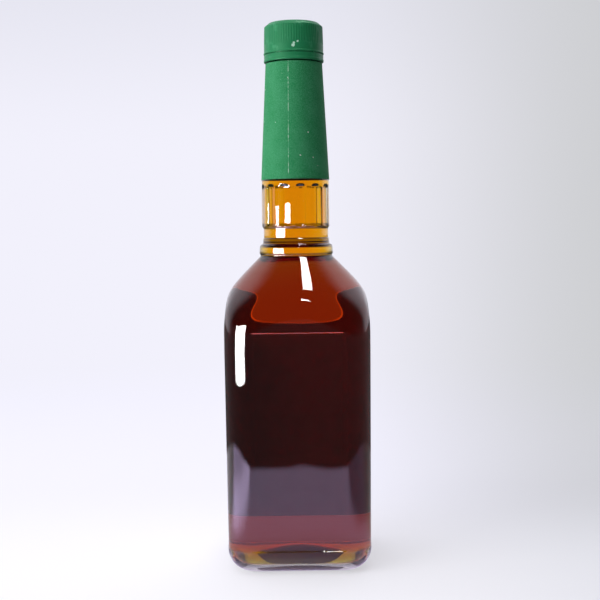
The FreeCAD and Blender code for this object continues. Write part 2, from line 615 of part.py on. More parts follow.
def build_label(glass):
    """A blank label that runs from one side, round the front, to the other side."""
    wrap = new_body("LabelWrap")
    column = Column(wrap, "Label", "(-Sizes.label_paper)")
    column.build("0", "Sizes.heel_radius")
    prism = new_body("PanelPrism")
    sketch = new_sketch(prism, "PrismOutline", "XY_Plane", {"z": "Sizes.shoulder_start"})
    side = "(Sizes.body_width / 2 - Sizes.panel_depth + Sizes.label_paper)"
    rectangle(sketch, "-" + side, side, "-" + side, side)
    for name, down, length, taper in (
            ("PrismLow", True, "Sizes.shoulder_start", "-Sizes.wall_draft"),
            ("PrismHigh", False, "Sizes.panel_top - Sizes.shoulder_start", "0")):
        pad = prism.newObject("PartDesign::Pad", name)
        pad.Profile = sketch
        pad.Reversed = down
        pad.setExpression("Length", length)
        pad.setExpression("TaperAngle", taper)
        document.recompute()
    extent = new_body("LabelExtent")
    sketch = new_sketch(extent, "ExtentOutline", "YZ_Plane")
    rectangle(sketch, "-Sizes.label_back", "Sizes.body_width", "Sizes.label_bottom", "Sizes.label_top")
    pad = extent.newObject("PartDesign::Pad", "Extent")
    pad.Profile = sketch
    pad.Midplane = True
    pad.setExpression("Length", "2 * Sizes.body_width")
    document.recompute()
    block = document.addObject("Part::MultiCommon", "LabelBlock")
    block.Shapes = [wrap, prism, extent]
    label = document.addObject("Part::Cut", "Label")
    label.Label = "label"
    label.Base = block
    label.Tool = glass
    document.recompute()
    return label


def build_bottle(outer, cavity):
    """The glass: its outside less its inside."""
    bottle = document.addObject("Part::Cut", "Bottle")
    bottle.Label = "bottle"
    bottle.Base = outer
    bottle.Tool = cavity
    document.recompute()
    return bottle


def build_bourbon(cavity):
    """The drink: all of the inside up to the fill level."""
    level = document.addObject("Part::Cylinder", "BelowLevel")
    level.setExpression("Radius", "Sizes.body_width")
    level.setExpression("Height", "Sizes.fill_level")
    bourbon = document.addObject("Part::Common", "Bourbon")
    bourbon.Label = "bourbon"
    bourbon.Base = cavity
    bourbon.Tool = level
    document.recompute()
    return bourbon


def check(parts):
    """Stop if any object failed or any part is empty, broken or in several pieces."""
    for item in document.Objects:
        if "Invalid" in item.State or "Error" in item.State:
            raise RuntimeError("%s did not build: %s" % (item.Name, item.State))
    for part in parts:
        shape = part.Shape
        if shape.isNull() or not shape.isValid() or len(shape.Solids) != 1:
            raise RuntimeError("%s is not one valid solid" % part.Label)


def main():
    """Build every part, check them all and write one STEP file for each."""
    outer = build_glass_outer()
    cavity = build_cavity()
    parts = [build_bottle(outer, cavity), build_bourbon(cavity), build_cap(), build_sleeve(),
             build_label(outer)]
    check(parts)
    os.makedirs("parts", exist_ok=True)
    for part in parts:
        part.Shape.exportStep("parts/%s.step" % part.Label)
        print("%-12s %9.2f cm3" % (part.Label, part.Shape.Volume / 1000))


main()
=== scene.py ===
"""Looks of a full, shut bourbon bottle: flint glass, spirit, paper neck sleeve, blank label and screw cap.

Sizes are in mm in the classes, and become metres where a mesh or a node is made. The bottle stands
on z = 0 with its back towards -y, where the camera is.
"""

import logging
import math
from dataclasses import dataclass
from enum import Enum
from typing import Any, Sequence

import bmesh
import bpy
import numpy as np
from mathutils import Euler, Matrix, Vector


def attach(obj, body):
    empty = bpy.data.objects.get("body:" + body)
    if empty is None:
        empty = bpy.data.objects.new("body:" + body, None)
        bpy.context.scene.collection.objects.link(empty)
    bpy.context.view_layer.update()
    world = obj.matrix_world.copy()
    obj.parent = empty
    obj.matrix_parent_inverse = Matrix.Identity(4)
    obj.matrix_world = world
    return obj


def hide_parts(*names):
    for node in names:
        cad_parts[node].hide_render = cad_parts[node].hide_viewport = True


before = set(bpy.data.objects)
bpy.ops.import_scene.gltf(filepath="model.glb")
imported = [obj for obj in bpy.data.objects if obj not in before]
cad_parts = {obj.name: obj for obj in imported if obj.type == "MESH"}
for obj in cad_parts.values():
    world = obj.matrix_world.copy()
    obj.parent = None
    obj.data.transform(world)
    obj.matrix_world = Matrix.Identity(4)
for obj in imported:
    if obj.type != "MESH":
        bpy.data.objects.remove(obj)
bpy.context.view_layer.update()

MM = 0.001
LOG = logging.getLogger("bottle")
EASED = {"interpolation_type": "SMOOTHSTEP"}  # for a soft change between two values
TINTED = {"data_type": "RGBA"}  # for a blend of two colours


# ---------------------------------------------------------------- helpers for finishes

def linear(colour: str, alpha: float = 1.0) -> tuple[float, float, float, float]:
    """Turn an sRGB hex colour into linear light.

    Args:
        colour: six hex digits with a leading #.
        alpha: the fourth value of the result.

    Returns:
        Linear red, green, blue and alpha.
    """
    values = [int(colour[start:start + 2], 16) / 255 for start in (1, 3, 5)]
    red, green, blue = [v / 12.92 if v <= 0.04045 else ((v + 0.055) / 1.055) ** 2.4 for v in values]
    return red, green, blue, alpha


def per_mm(size: float) -> float:
    """Scale of a texture whose features are about size mm across."""
    return 1 / (size * MM)


def add(tree: bpy.types.NodeTree, kind: str, feeds: dict[int | str, Any] | None = None,
        **settings: Any) -> bpy.types.Node:
    """Add a node, set its properties, and set or link its sockets.

    Args:
        tree: the material's or world's tree.
        kind: the node's type name, without its ShaderNode prefix.
        feeds: socket name or number to a constant, to an output that feeds it, or to a node
            whose first output in use feeds it.
        **settings: properties of the node itself.

    Returns:
        The new node.
    """
    node = tree.nodes.new("ShaderNode" + kind)
    for name, value in settings.items():
        setattr(node, name, value)
    for socket, feed in (feeds or {}).items():
        if isinstance(feed, bpy.types.Node):
            feed = next(output for output in feed.outputs if output.enabled)
        if isinstance(feed, bpy.types.NodeSocket):
            tree.links.new(feed, node.inputs[socket])
        else:
            node.inputs[socket].default_value = feed
    return node


@dataclass(frozen=True)
class Change:
    """An eased change of level over a stretch of some measure."""

    start: float
    end: float
    first: float = 0.0
    last: float = 1.0

    def of(self, measure: Any) -> dict[int, Any]:
        """Feeds of a Map Range node that makes the change."""
        return {0: measure, 1: self.start, 2: self.end, 3: self.first, 4: self.last}


def new_material(name: str) -> tuple[bpy.types.Material, bpy.types.NodeTree]:
    """Make an empty node material.

    Args:
        name: what it is and how it was made.

    Returns:
        The material and its tree.
    """
    material = bpy.data.materials.new(name)
    material.use_nodes = True
    material.node_tree.nodes.clear()
    return material, material.node_tree


# ---------------------------------------------------------------- finishes

@dataclass(frozen=True)
class FlintGlass:
    """Soda-lime flint glass, blown in an iron mould and fire polished.

    The eye gets a colourless wall with sharp reflections that waver a little, because the
    mould's chill leaves the skin very slightly uneven.
    """

    tint: str = "#fbfdfd"
    ior: float = 1.52
    ripple_mm: float = 14.0
    peel_mm: float = 4.0
    peel_share: float = 0.12
    relief_mm: float = 0.03
    frost: str = "#e9ecee"
    frost_roughness: float = 0.45
    frost_clearness: float = 0.3
    stipple_mm: float = 1.2
    stipple_depth_mm: float = 0.05

    def outside(self) -> bpy.types.Material:
        """Make the skin that meets the air.

        Returns:
            Clear glass with slow ripples and a fine orange peel.
        """
        material, tree = new_material("flint_glass_blown")
        where = add(tree, "TexCoord").outputs["Object"]
        ripple = add(tree, "TexNoise", {"Vector": where, "Scale": per_mm(self.ripple_mm), "Detail": 1.0})
        peel = add(tree, "TexNoise", {"Vector": where, "Scale": per_mm(self.peel_mm), "Detail": 2.0})
        relief = add(tree, "Math", {0: peel, 1: self.peel_share, 2: ripple}, operation="MULTIPLY_ADD")
        normal = add(tree, "Bump", {"Height": relief, "Strength": 1.0, "Distance": self.relief_mm * MM})
        shader = add(tree, "BsdfPrincipled", {
            "Base Color": linear(self.tint), "IOR": self.ior, "Roughness": 0.0,
            "Transmission Weight": 1.0, "Normal": normal})
        add(tree, "OutputMaterial", {"Surface": shader})
        return material

    def wetted(self) -> bpy.types.Material:
        """Make the inner skin under the drink: it bends light but hardly mirrors it.

        Returns:
            Clear glass with a black specular tint.
        """
        material, tree = new_material("flint_glass_wetted")
        shader = add(tree, "BsdfPrincipled", {
            "Base Color": linear(self.tint), "IOR": self.ior, "Roughness": 0.0,
            "Transmission Weight": 1.0, "Specular Tint": (0, 0, 0, 1)})
        add(tree, "OutputMaterial", {"Surface": shader})
        return material

    def stippled(self) -> bpy.types.Material:
        """Make the underside, knurled in the mould so that it scatters light and looks frosted.

        Returns:
            Half-clear rough glass with a small relief.
        """
        material, tree = new_material("flint_glass_stippled")
        where = add(tree, "TexCoord").outputs["Object"]
        knurl = add(tree, "TexNoise", {"Vector": where, "Scale": per_mm(self.stipple_mm), "Detail": 1.0})
        normal = add(tree, "Bump", {"Height": knurl, "Strength": 1.0,
                                    "Distance": self.stipple_depth_mm * MM})
        shader = add(tree, "BsdfPrincipled", {
            "Base Color": linear(self.frost), "IOR": self.ior, "Roughness": self.frost_roughness,
            "Transmission Weight": self.frost_clearness, "Normal": normal})
        add(tree, "OutputMaterial", {"Surface": shader})
        return material


@dataclass(frozen=True)
class AgedSpirit:
    """Cask-aged grain spirit at 40 to 45 percent: clear, with the amber of charred oak.

    The eye gets orange through the thin neck and deep red-brown through the body, because
    blue is soaked up within millimetres and green within a few centimetres.
    """

    ior: float = 1.36
    clear_through: tuple[float, float, float] = (0.90, 0.44, 0.004)
    depth_mm: float = 18.0

    def material(self) -> bpy.types.Material:
        """Make a clear liquid whose colour grows with the length of the light's path.

        Returns:
            The liquid: clear_through is the red, green and blue left after depth_mm of it.
        """
        material, tree = new_material("cask_aged_spirit")
        shader = add(tree, "BsdfPrincipled", {
            "Base Color": (1, 1, 1, 1), "IOR": self.ior, "Roughness": 0.0,
            "Transmission Weight": 1.0, "Specular Tint": (0, 0, 0, 1)})
        densities = [-math.log(share) / (self.depth_mm * MM) for share in self.clear_through]
        density = max(densities)
        colour = [1 - value / density for value in densities]
        volume = add(tree, "VolumeAbsorption", {"Color": (*colour, 1), "Density": density})
        add(tree, "OutputMaterial", {"Surface": shader, "Volume": volume})
        return material


@dataclass(frozen=True)
class MouldedCapPlastic:
    """Polypropylene, injection moulded with a fine spark-eroded skin.

    The eye gets a satin green with a soft sheen, slightly paler at rubbed edges, and a few
    small pale marks painted at given spots on its front.
    """

    green: str = "#208150"
    rubbed: str = "#5db587"
    pale_mark: str = "#b9dfc9"
    ior: float = 1.49
    roughness: float = 0.42
    specular: float = 0.3
    grain_mm: float = 0.25
    grain_depth_mm: float = 0.012
    wear_mm: float = 5.0
    wear: Change = Change(0.58, 0.75, 0.0, 0.35)
    rag_mm: float = 0.5
    # spots on the cap's front where small pale marks are painted into the colour
    mark_spots: tuple[tuple[float, float, float, float], ...] = (  # x, y, z and reach
        (-0.2, -16.0, 276.4, 1.0), (0.2, -16.0, 277.6, 0.7), (2.2, -15.8, 278.4, 0.6))

    def material(self) -> bpy.types.Material:
        """Make a satin plastic with a moulded grain and a few small pale marks painted on its front.

        Returns:
            The plastic.
        """
        material, tree = new_material("polypropylene_moulded")
        where = add(tree, "TexCoord").outputs["Object"]
        cloud = add(tree, "TexNoise", {"Vector": where, "Scale": per_mm(self.wear_mm), "Detail": 4.0})
        wear = add(tree, "MapRange", self.wear.of(cloud), **EASED)
        colour = add(tree, "Mix", {0: wear, 6: linear(self.green), 7: linear(self.rubbed)}, **TINTED)
        rag = add(tree, "TexNoise", {"Vector": where, "Scale": per_mm(self.rag_mm), "Detail": 2.0})
        # paint a small pale mark at each given spot
        for x, y, z, reach in self.mark_spots:
            offset = add(tree, "VectorMath", {0: where, 1: (x * MM, y * MM, z * MM)}, operation="DISTANCE")
            ragged = add(tree, "Math", {0: rag, 1: -reach * MM, 2: offset}, operation="MULTIPLY_ADD")
            fade = Change(0.3 * reach * MM, 0.5 * reach * MM, 1.0, 0.0)
            marked = add(tree, "MapRange", fade.of(ragged), **EASED)
            colour = add(tree, "Mix", {0: marked, 6: colour, 7: linear(self.pale_mark)}, **TINTED)
        grain = add(tree, "TexNoise", {"Vector": where, "Scale": per_mm(self.grain_mm), "Detail": 2.0})
        normal = add(tree, "Bump", {"Height": grain, "Strength": 1.0, "Distance": self.grain_depth_mm * MM})
        shader = add(tree, "BsdfPrincipled", {
            "Base Color": colour, "IOR": self.ior, "Roughness": self.roughness,
            "Specular IOR Level": self.specular, "Subsurface Weight": 0.06,
            "Subsurface Radius": (0.4, 1.0, 0.5), "Subsurface Scale": MM, "Normal": normal})
        add(tree, "OutputMaterial", {"Surface": shader})
        return material


@dataclass(frozen=True)
class PrintedNeckPaper:
    """Wet-glued label paper printed solid green.

    The eye gets a matt green with a fine speckled grain, white chips where the print has
    rubbed off, and a pale line along each cut edge.
    """

    green: str = "#217f4a"
    pale_green: str = "#58a97c"
    fibre: str = "#d9e4dc"
    ior: float = 1.45
    roughness: float = 0.72
    specular: float = 0.22
    edge_roughness: float = 0.8
    grain_mm: float = 0.45  # coarser than real print grain, so that it shows
    grain: Change = Change(0.38, 0.66, 0.0, 0.42)
    cloud_mm: float = 9.0
    cloud: Change = Change(0.4, 0.7, 0.0, 0.18)
    chip_mm: float = 5.0  # one possible chip in each cell of this size
    chip_rag_mm: float = 0.6
    chip_spread: float = 0.24
    chip_shrink: float = -0.06
    unchipped: float = 0.3  # share of the cells without a chip
    tooth_mm: float = 0.35
    tooth_depth_mm: float = 0.02
    edge_wear_mm: float = 1.6
    edge_wear: Change = Change(0.42, 0.62)

    def printed(self) -> bpy.types.Material:
        """Make the green printed face.

        Returns:
            Green paper with grain, clouds and small white chips.
        """
        material, tree = new_material("neck_paper_printed")
        where = add(tree, "TexCoord").outputs["Object"]
        speckle = add(tree, "TexNoise", {"Vector": where, "Scale": per_mm(self.grain_mm), "Detail": 3.0})
        grain = add(tree, "MapRange", self.grain.of(speckle), **EASED)
        blotch = add(tree, "TexNoise", {"Vector": where, "Scale": per_mm(self.cloud_mm), "Detail": 3.0})
        cloud = add(tree, "MapRange", self.cloud.of(blotch), **EASED)
        shade = add(tree, "Mix", {0: grain, 6: linear(self.green), 7: linear(self.pale_green)}, **TINTED)
        shade = add(tree, "Mix", {0: cloud, 6: shade, 7: linear(self.pale_green)}, **TINTED)
        cells = add(tree, "TexVoronoi", {"Vector": where, "Scale": per_mm(self.chip_mm), "Randomness": 1.0})
        rag = add(tree, "TexNoise", {"Vector": where, "Scale": per_mm(self.chip_rag_mm), "Detail": 2.0})
        reach = add(tree, "Math", {0: rag, 1: self.chip_spread, 2: self.chip_shrink},
                    operation="MULTIPLY_ADD")
        pick = add(tree, "SeparateColor", {"Color": cells.outputs["Color"]})
        rare = add(tree, "Math", {0: pick, 1: self.unchipped}, operation="GREATER_THAN")
        near = add(tree, "Math", {0: cells, 1: reach}, operation="LESS_THAN")
        chips = add(tree, "Math", {0: near, 1: rare}, operation="MULTIPLY")
        colour = add(tree, "Mix", {0: chips, 6: shade, 7: linear(self.fibre)}, **TINTED)
        tooth = add(tree, "TexNoise", {"Vector": where, "Scale": per_mm(self.tooth_mm), "Detail": 3.0})
        normal = add(tree, "Bump", {"Height": tooth, "Strength": 1.0, "Distance": self.tooth_depth_mm * MM})
        shader = add(tree, "BsdfPrincipled", {
            "Base Color": colour, "IOR": self.ior, "Roughness": self.roughness,
            "Specular IOR Level": self.specular, "Normal": normal})
        add(tree, "OutputMaterial", {"Surface": shader})
        return material

    def cut_edge(self) -> bpy.types.Material:
        """Make the bare fibre of a cut edge, stained green by the ink in places.

        Returns:
            Pale paper with green stains.
        """
        material, tree = new_material("neck_paper_cut_edge")
        where = add(tree, "TexCoord").outputs["Object"]
        stain = add(tree, "TexNoise", {"Vector": where, "Scale": per_mm(self.edge_wear_mm), "Detail": 3.0})
        worn = add(tree, "MapRange", self.edge_wear.of(stain), **EASED)
        colour = add(tree, "Mix", {0: worn, 6: linear(self.pale_green), 7: linear(self.fibre)}, **TINTED)
        shader = add(tree, "BsdfPrincipled", {
            "Base Color": colour, "IOR": self.ior, "Roughness": self.edge_roughness})
        add(tree, "OutputMaterial", {"Surface": shader})
        return material


@dataclass(frozen=True)
class LabelPaper:
    """Uncoated laid label stock, wet glued.

    The eye gets a soft cream face with faint level lines, and from behind, through the drink,
    the darker glue side.
    """

    face: str = "#e6ddc6"
    shade: str = "#cfc4a8"
    glue: str = "#f0e6da"
    glue_streak: str = "#d9ccbd"
    ior: float = 1.45
    face_roughness: float = 0.75
    glue_roughness: float = 0.7
    laid_mm: float = 1.1
    laid: Change = Change(0.3, 0.7, 0.0, 0.6)
    fibre_mm: float = 0.6
    fibre_depth_mm: float = 0.02
    streak_mm: float = 7.0
    streaks: Change = Change(0.35, 0.7, 0.0, 0.25)

    def front(self) -> bpy.types.Material:
        """Make the bare face.

        Returns:
            Cream paper with laid lines, broken up by its fibres.
        """
        material, tree = new_material("label_paper_face")
        where = add(tree, "TexCoord").outputs["Object"]
        # a wave texture repeats every tau / 20 of a unit at a scale of 1
        laid = add(tree, "TexWave", {"Vector": where, "Scale": math.tau / 20 * per_mm(self.laid_mm),
                                     "Distortion": 1.0, "Detail": 1.0}, bands_direction="Z")
        fibre = add(tree, "TexNoise", {"Vector": where, "Scale": per_mm(self.fibre_mm), "Detail": 4.0})
        broken = add(tree, "MapRange", self.laid.of(fibre), **EASED)
        share = add(tree, "Math", {0: laid.outputs["Fac"], 1: broken}, operation="MULTIPLY")
        colour = add(tree, "Mix", {0: share, 6: linear(self.face), 7: linear(self.shade)}, **TINTED)
        normal = add(tree, "Bump", {"Height": fibre, "Strength": 1.0, "Distance": self.fibre_depth_mm * MM})
        shader = add(tree, "BsdfPrincipled", {
            "Base Color": colour, "IOR": self.ior, "Roughness": self.face_roughness, "Normal": normal})
        add(tree, "OutputMaterial", {"Surface": shader})
        return material

    def back(self) -> bpy.types.Material:
        """Make the glued side that shows through the bottle.

        Returns:
            Pale paper with soft streaks of glue.
        """
        material, tree = new_material("label_paper_glue_side")
        where = add(tree, "TexCoord").outputs["Object"]
        cloud = add(tree, "TexNoise", {"Vector": where, "Scale": per_mm(self.streak_mm), "Detail": 3.0})
        streaks = add(tree, "MapRange", self.streaks.of(cloud), **EASED)
        colour = add(tree, "Mix", {0: streaks, 6: linear(self.glue), 7: linear(self.glue_streak)}, **TINTED)
        shader = add(tree, "BsdfPrincipled", {
            "Base Color": colour, "IOR": self.ior, "Roughness": self.glue_roughness})
        add(tree, "OutputMaterial", {"Surface": shader})
        return material


# ---------------------------------------------------------------- meshes

CRISP = 35.0  # edges of papers and glass sharper than this, in degrees, stay crisp
NEARLY_STRAIGHT = math.radians(89.5)  # half a corner's angle over which it isn't rounded
SAME_POINT = 1e-6  # points closer than this, in mm, are one


class Rings:
    """A closed skin made of rings of points round the upright axis."""

    def __init__(self, angles: np.ndarray) -> None:
        """Start with no rings.

        Args:
            angles: the polar angle of each column, in radians.
        """
        self.angles = angles
        self.rows: list[np.ndarray] = []
        self.slots: list[int] = []

    def add(self, radius: Any, height: Any, slot: int = 0) -> None:
        """Add a ring.

        Args:
            radius: radius in mm, one number or one for each column.
            height: height in mm, one number or one for each column.
            slot: material slot of the faces between the last ring and this one.
        """
        radius = np.broadcast_to(np.asarray(radius, float), self.angles.shape)
        height = np.broadcast_to(np.asarray(height, float), self.angles.shape)
        points = np.stack([radius * np.cos(self.angles), radius * np.sin(self.angles), height], 1)
        self.rows.append(points)
        self.slots.append(slot)

    def object(self, name: str, materials: Sequence[bpy.types.Material],
               start: float | None, end: float | None, smooth_angle: float = CRISP) -> bpy.types.Object:
        """Turn the rings into an object.

        Args:
            name: the piece's name.
            materials: its material slots.
            start: height in mm of the point that closes the first ring, or None if the last
                ring joins the first.
            end: height in mm of the point that closes the last ring, or None as above.
            smooth_angle: edges sharper than this, in degrees, stay crisp.

        Returns:
            The new object, in metres.
        """
        columns = len(self.angles)
        points = np.concatenate(self.rows) * MM
        faces: list[tuple[int, ...]] = []
        slots: list[int] = []
        pairs = [(row, row + 1) for row in range(len(self.rows) - 1)]
        if start is None:
            pairs.append((len(self.rows) - 1, 0))
        for low, high in pairs:
            for column in range(columns):
                after = (column + 1) % columns
                faces.append((low * columns + column, low * columns + after,
                              high * columns + after, high * columns + column))
                slots.append(self.slots[high])
        if start is not None:
            count = len(points)
            points = np.concatenate([points, [[0, 0, start * MM], [0, 0, end * MM]]])
            last = (len(self.rows) - 1) * columns
            for column in range(columns):
                after = (column + 1) % columns
                faces.append((count, after, column))
                slots.append(self.slots[0])
                faces.append((count + 1, last + column, last + after))
                slots.append(self.slots[-1])
        return make_object(name, points, faces, slots, materials, smooth_angle)


def make_object(name: str, points: Any, faces: Sequence[Sequence[int]], slots: Sequence[int],
                materials: Sequence[bpy.types.Material], smooth_angle: float) -> bpy.types.Object:
    """Make a mesh object with outward faces and smooth shading.

    Args:
        name: the piece's name.
        points: vertices in metres.
        faces: vertex numbers of each face.
        slots: material slot of each face.
        materials: the slots.
        smooth_angle: edges sharper than this, in degrees, stay crisp.

    Returns:
        The new object.
    """
    mesh = bpy.data.meshes.new(name)
    mesh.from_pydata([tuple(point) for point in points], [], [tuple(face) for face in faces])
    for material in materials:
        mesh.materials.append(material)
    mesh.polygons.foreach_set("material_index", list(slots))
    mesh.validate()
    shape = bmesh.new()
    shape.from_mesh(mesh)
    if all(edge.is_manifold for edge in shape.edges):
        bmesh.ops.recalc_face_normals(shape, faces=shape.faces)
    shape.to_mesh(mesh)
    shape.free()
    mesh.polygons.foreach_set("use_smooth", [True] * len(mesh.polygons))
    mesh.set_sharp_from_angle(angle=math.radians(smooth_angle))
    mesh.update()
    piece = bpy.data.objects.new(name, mesh)
    bpy.context.scene.collection.objects.link(piece)
    return piece


def make_plate(name: str, inner: np.ndarray, outer: np.ndarray,
               materials: Sequence[bpy.types.Material], bare_columns: int = 0) -> bpy.types.Object:
    """Make a thin closed sheet between two grids of points.

    Args:
        name: the piece's name.
        inner: columns by rows by 3 points of the glued side, in mm.
        outer: the same for the side that shows.
        materials: the outer side's, the cut edge's and the glued side's.
        bare_columns: how many of the first columns show the cut edge's finish outside too.

    Returns:
        The new object.
    """
    columns, rows = inner.shape[:2]
    points = np.concatenate([inner.reshape(-1, 3), outer.reshape(-1, 3)]) * MM
    faces: list[tuple[int, ...]] = []
    slots: list[int] = []

    def at(layer: int, column: int, row: int) -> int:
        """Number of a vertex."""
        return (layer * columns + column) * rows + row

    for column in range(columns - 1):
        for row in range(rows - 1):
            ring = [(column, row), (column + 1, row), (column + 1, row + 1), (column, row + 1)]
            faces += [tuple(at(1, *spot) for spot in ring),
                      tuple(at(0, *spot) for spot in reversed(ring))]
            slots += [1 if column < bare_columns else 0, 2]
    border = [(column, 0) for column in range(columns)]
    border += [(columns - 1, row) for row in range(1, rows)]
    border += [(column, rows - 1) for column in range(columns - 2, -1, -1)]
    border += [(0, row) for row in range(rows - 2, 0, -1)]
    for here, after in zip(border, border[1:] + border[:1]):
        faces.append((at(0, *here), at(0, *after), at(1, *after), at(1, *here)))
        slots.append(1)
    return make_object(name, points, faces, slots, materials, CRISP)


def rounded_outline(corners: Sequence[tuple[float, float, float]],
                    step: float) -> list[tuple[float, float]]:
    """Round the corners of an outline and divide it evenly.

    Args:
        corners: radius, height and rounding of each corner, in mm. The ends aren't rounded.
        step: longest stretch between two points, in mm.

    Returns:
        Radius and height of each point.
    """
    points: list[np.ndarray] = [np.array(corners[0][:2])]
    for index in range(1, len(corners) - 1):
        before, here, after = (np.array(corners[index + k][:2]) for k in (-1, 0, 1))
        back = (before - here) / np.linalg.norm(before - here)
        on = (after - here) / np.linalg.norm(after - here)
        half = math.acos(np.clip(np.dot(back, on), -1, 1)) / 2
        radius = corners[index][2]
        if radius <= 0 or half > NEARLY_STRAIGHT:
            points.append(here)
            continue
        reach = radius / math.tan(half)
        centre = here + (back + on) / np.linalg.norm(back + on) * radius / math.sin(half)
        first, last = here + back * reach - centre, here + on * reach - centre
        turn = math.pi - 2 * half
        steps = max(3, math.ceil(turn * radius / step))
        side = math.copysign(1, first[0] * last[1] - first[1] * last[0])
        for count in range(steps + 1):
            angle = side * turn * count / steps
            cosine, sine = math.cos(angle), math.sin(angle)
            points.append(centre + np.array([first[0] * cosine - first[1] * sine,
                                             first[0] * sine + first[1] * cosine]))
    points.append(np.array(corners[-1][:2]))
    dense: list[tuple[float, float]] = [tuple(points[0])]
    for start, end in zip(points, points[1:]):
        length = float(np.linalg.norm(end - start))
        if length < SAME_POINT:
            continue
        pieces = max(1, math.ceil(length / step))
        dense += [tuple(start + (end - start) * k / pieces) for k in range(1, pieces + 1)]
    return dense


def smooth_share(value: Any, low: float, high: float) -> Any:
    """Give 0 below low and 1 above high, eased between."""
    share = np.clip((value - low) / (high - low), 0, 1)
    return share * share * (3 - 2 * share)


def from_flat(angles: np.ndarray) -> np.ndarray:
    """Angle of each column from the middle of the body's nearest side."""
    return np.mod(angles + math.pi / 4, math.pi / 2) - math.pi / 4


def grid(angles: np.ndarray, radius: np.ndarray, height: np.ndarray) -> np.ndarray:
    """Points of a sheet from the angle of each column and each point's radius and height."""
    across = angles[:, None]
    return np.stack([radius * np.cos(across), radius * np.sin(across), height], 2)


# ---------------------------------------------------------------- sizes shared by the pieces

@dataclass(frozen=True)
class BottleForm:
    """Sizes of the glass in mm and the formulas for its plan and outline."""

    half: float = 38.74
    corner: float = 16.8
    draft: float = math.tan(math.radians(0.31))
    straight_top: float = 116.0
    ease: float = 6.0  # height over which the column starts to turn into the shoulder
    heel: float = 11.0
    shoulder_end: float = 157.5
    cone_foot: float = 185.1  # height at which the 45 degree cone would close to a point
    blend: float = 11.6  # how tightly the square column and the cone blend
    wall: float = 3.0
    base: float = 5.0
    inner_heel: float = 9.0
    push_up: float = 4.0
    push_up_radius: float = 23.0
    inner_dome: float = 3.5
    inner_dome_radius: float = 22.0
    panel_depth: float = 0.35
    panel_bottom: float = 12.8
    panel_top: float = 127.0
    band_radius: float = 18.3
    flute_count: int = 13
    flute_axis: float = 29.55  # distance of each cutter's axis from the neck's
    flute_radius: float = 12.0
    flute_end: float = 2.0
    flute_bottom: float = 180.8
    flute_top: float = 204.3
    flute_phase: float = 8.5
    crest_softness: float = 0.12
    sleeve_bottom: float = 206.7
    sleeve_top: float = 268.6
    cone_bottom_radius: float = 18.2
    cone_top_radius: float = 15.05
    finish_radius: float = 13.9
    neck_bore: float = 14.4
    mouth_bore: float = 9.8
    cap_bottom: float = 269.3
    lip: float = 288.2
    fill_level: float = 222.0

    def half_at(self, height: float) -> float:
        """Half the body's width at a height, its draft included."""
        return self.half - self.draft * max(0.0, self.straight_top - height)

    @staticmethod
    def square(angles: np.ndarray, half: float, corner: float) -> np.ndarray:
        """Polar radius of a square with rounded corners.

        Args:
            angles: polar angles in radians.
            half: half its width.
            corner: radius of its corners.

        Returns:
            The radius at each angle.
        """
        turn = from_flat(angles)
        side = half / np.cos(turn)
        flat = half - corner
        across = np.abs(np.sin(turn)) + np.cos(turn)
        rest = np.maximum(flat ** 2 * (across ** 2 - 2) + corner ** 2, 0)
        return np.where(half * np.abs(np.tan(turn)) <= flat, side, flat * across + np.sqrt(rest))

    def column(self, angles: np.ndarray, height: float, wall: float = 0.0) -> np.ndarray:
        """Ease the square column into the shoulder's cone.

        Args:
            angles: polar angles in radians.
            height: height of the row.
            wall: how far inside the glass's outside the row lies.

        Returns:
            The radius at each angle.
        """
        square = self.square(angles, self.half_at(height) - wall, self.corner - wall)
        cone = self.cone_foot - math.sqrt(2) * wall - height
        if height < self.straight_top:
            return square
        eased = (square ** -self.blend + cone ** -self.blend) ** (-1 / self.blend)
        share = smooth_share(height, self.straight_top, self.straight_top + self.ease)
        return square + (eased - square) * share

    def paper_radius(self, height: float) -> float:
        """Radius of the neck's cone under the paper."""
        share = (height - self.sleeve_bottom) / (self.sleeve_top - self.sleeve_bottom)
        return self.cone_bottom_radius + (self.cone_top_radius - self.cone_bottom_radius) * share

    def inside(self, skin: float) -> list[tuple[float, float]]:
        """Draw the bore from the shoulder's end up to the mouth.

        Args:
            skin: how far the outline reaches into the wall.

        Returns:
            Radius and height of each point.
        """
        foot = self.cone_foot - math.sqrt(2) * (self.wall - skin)
        bore = self.neck_bore + skin
        return rounded_outline([
            (foot - self.shoulder_end, self.shoulder_end, 0),
            (bore, foot - bore, 12),
            (bore, self.sleeve_bottom, 60),
            (self.mouth_bore + skin, self.sleeve_top, 8),
            (self.mouth_bore + skin, self.lip - 1.0, 0),
        ], 1.6)


class Slot(Enum):
    """Material slots of the glass."""

    OUTSIDE = 0
    WETTED = 1
    STIPPLED = 2


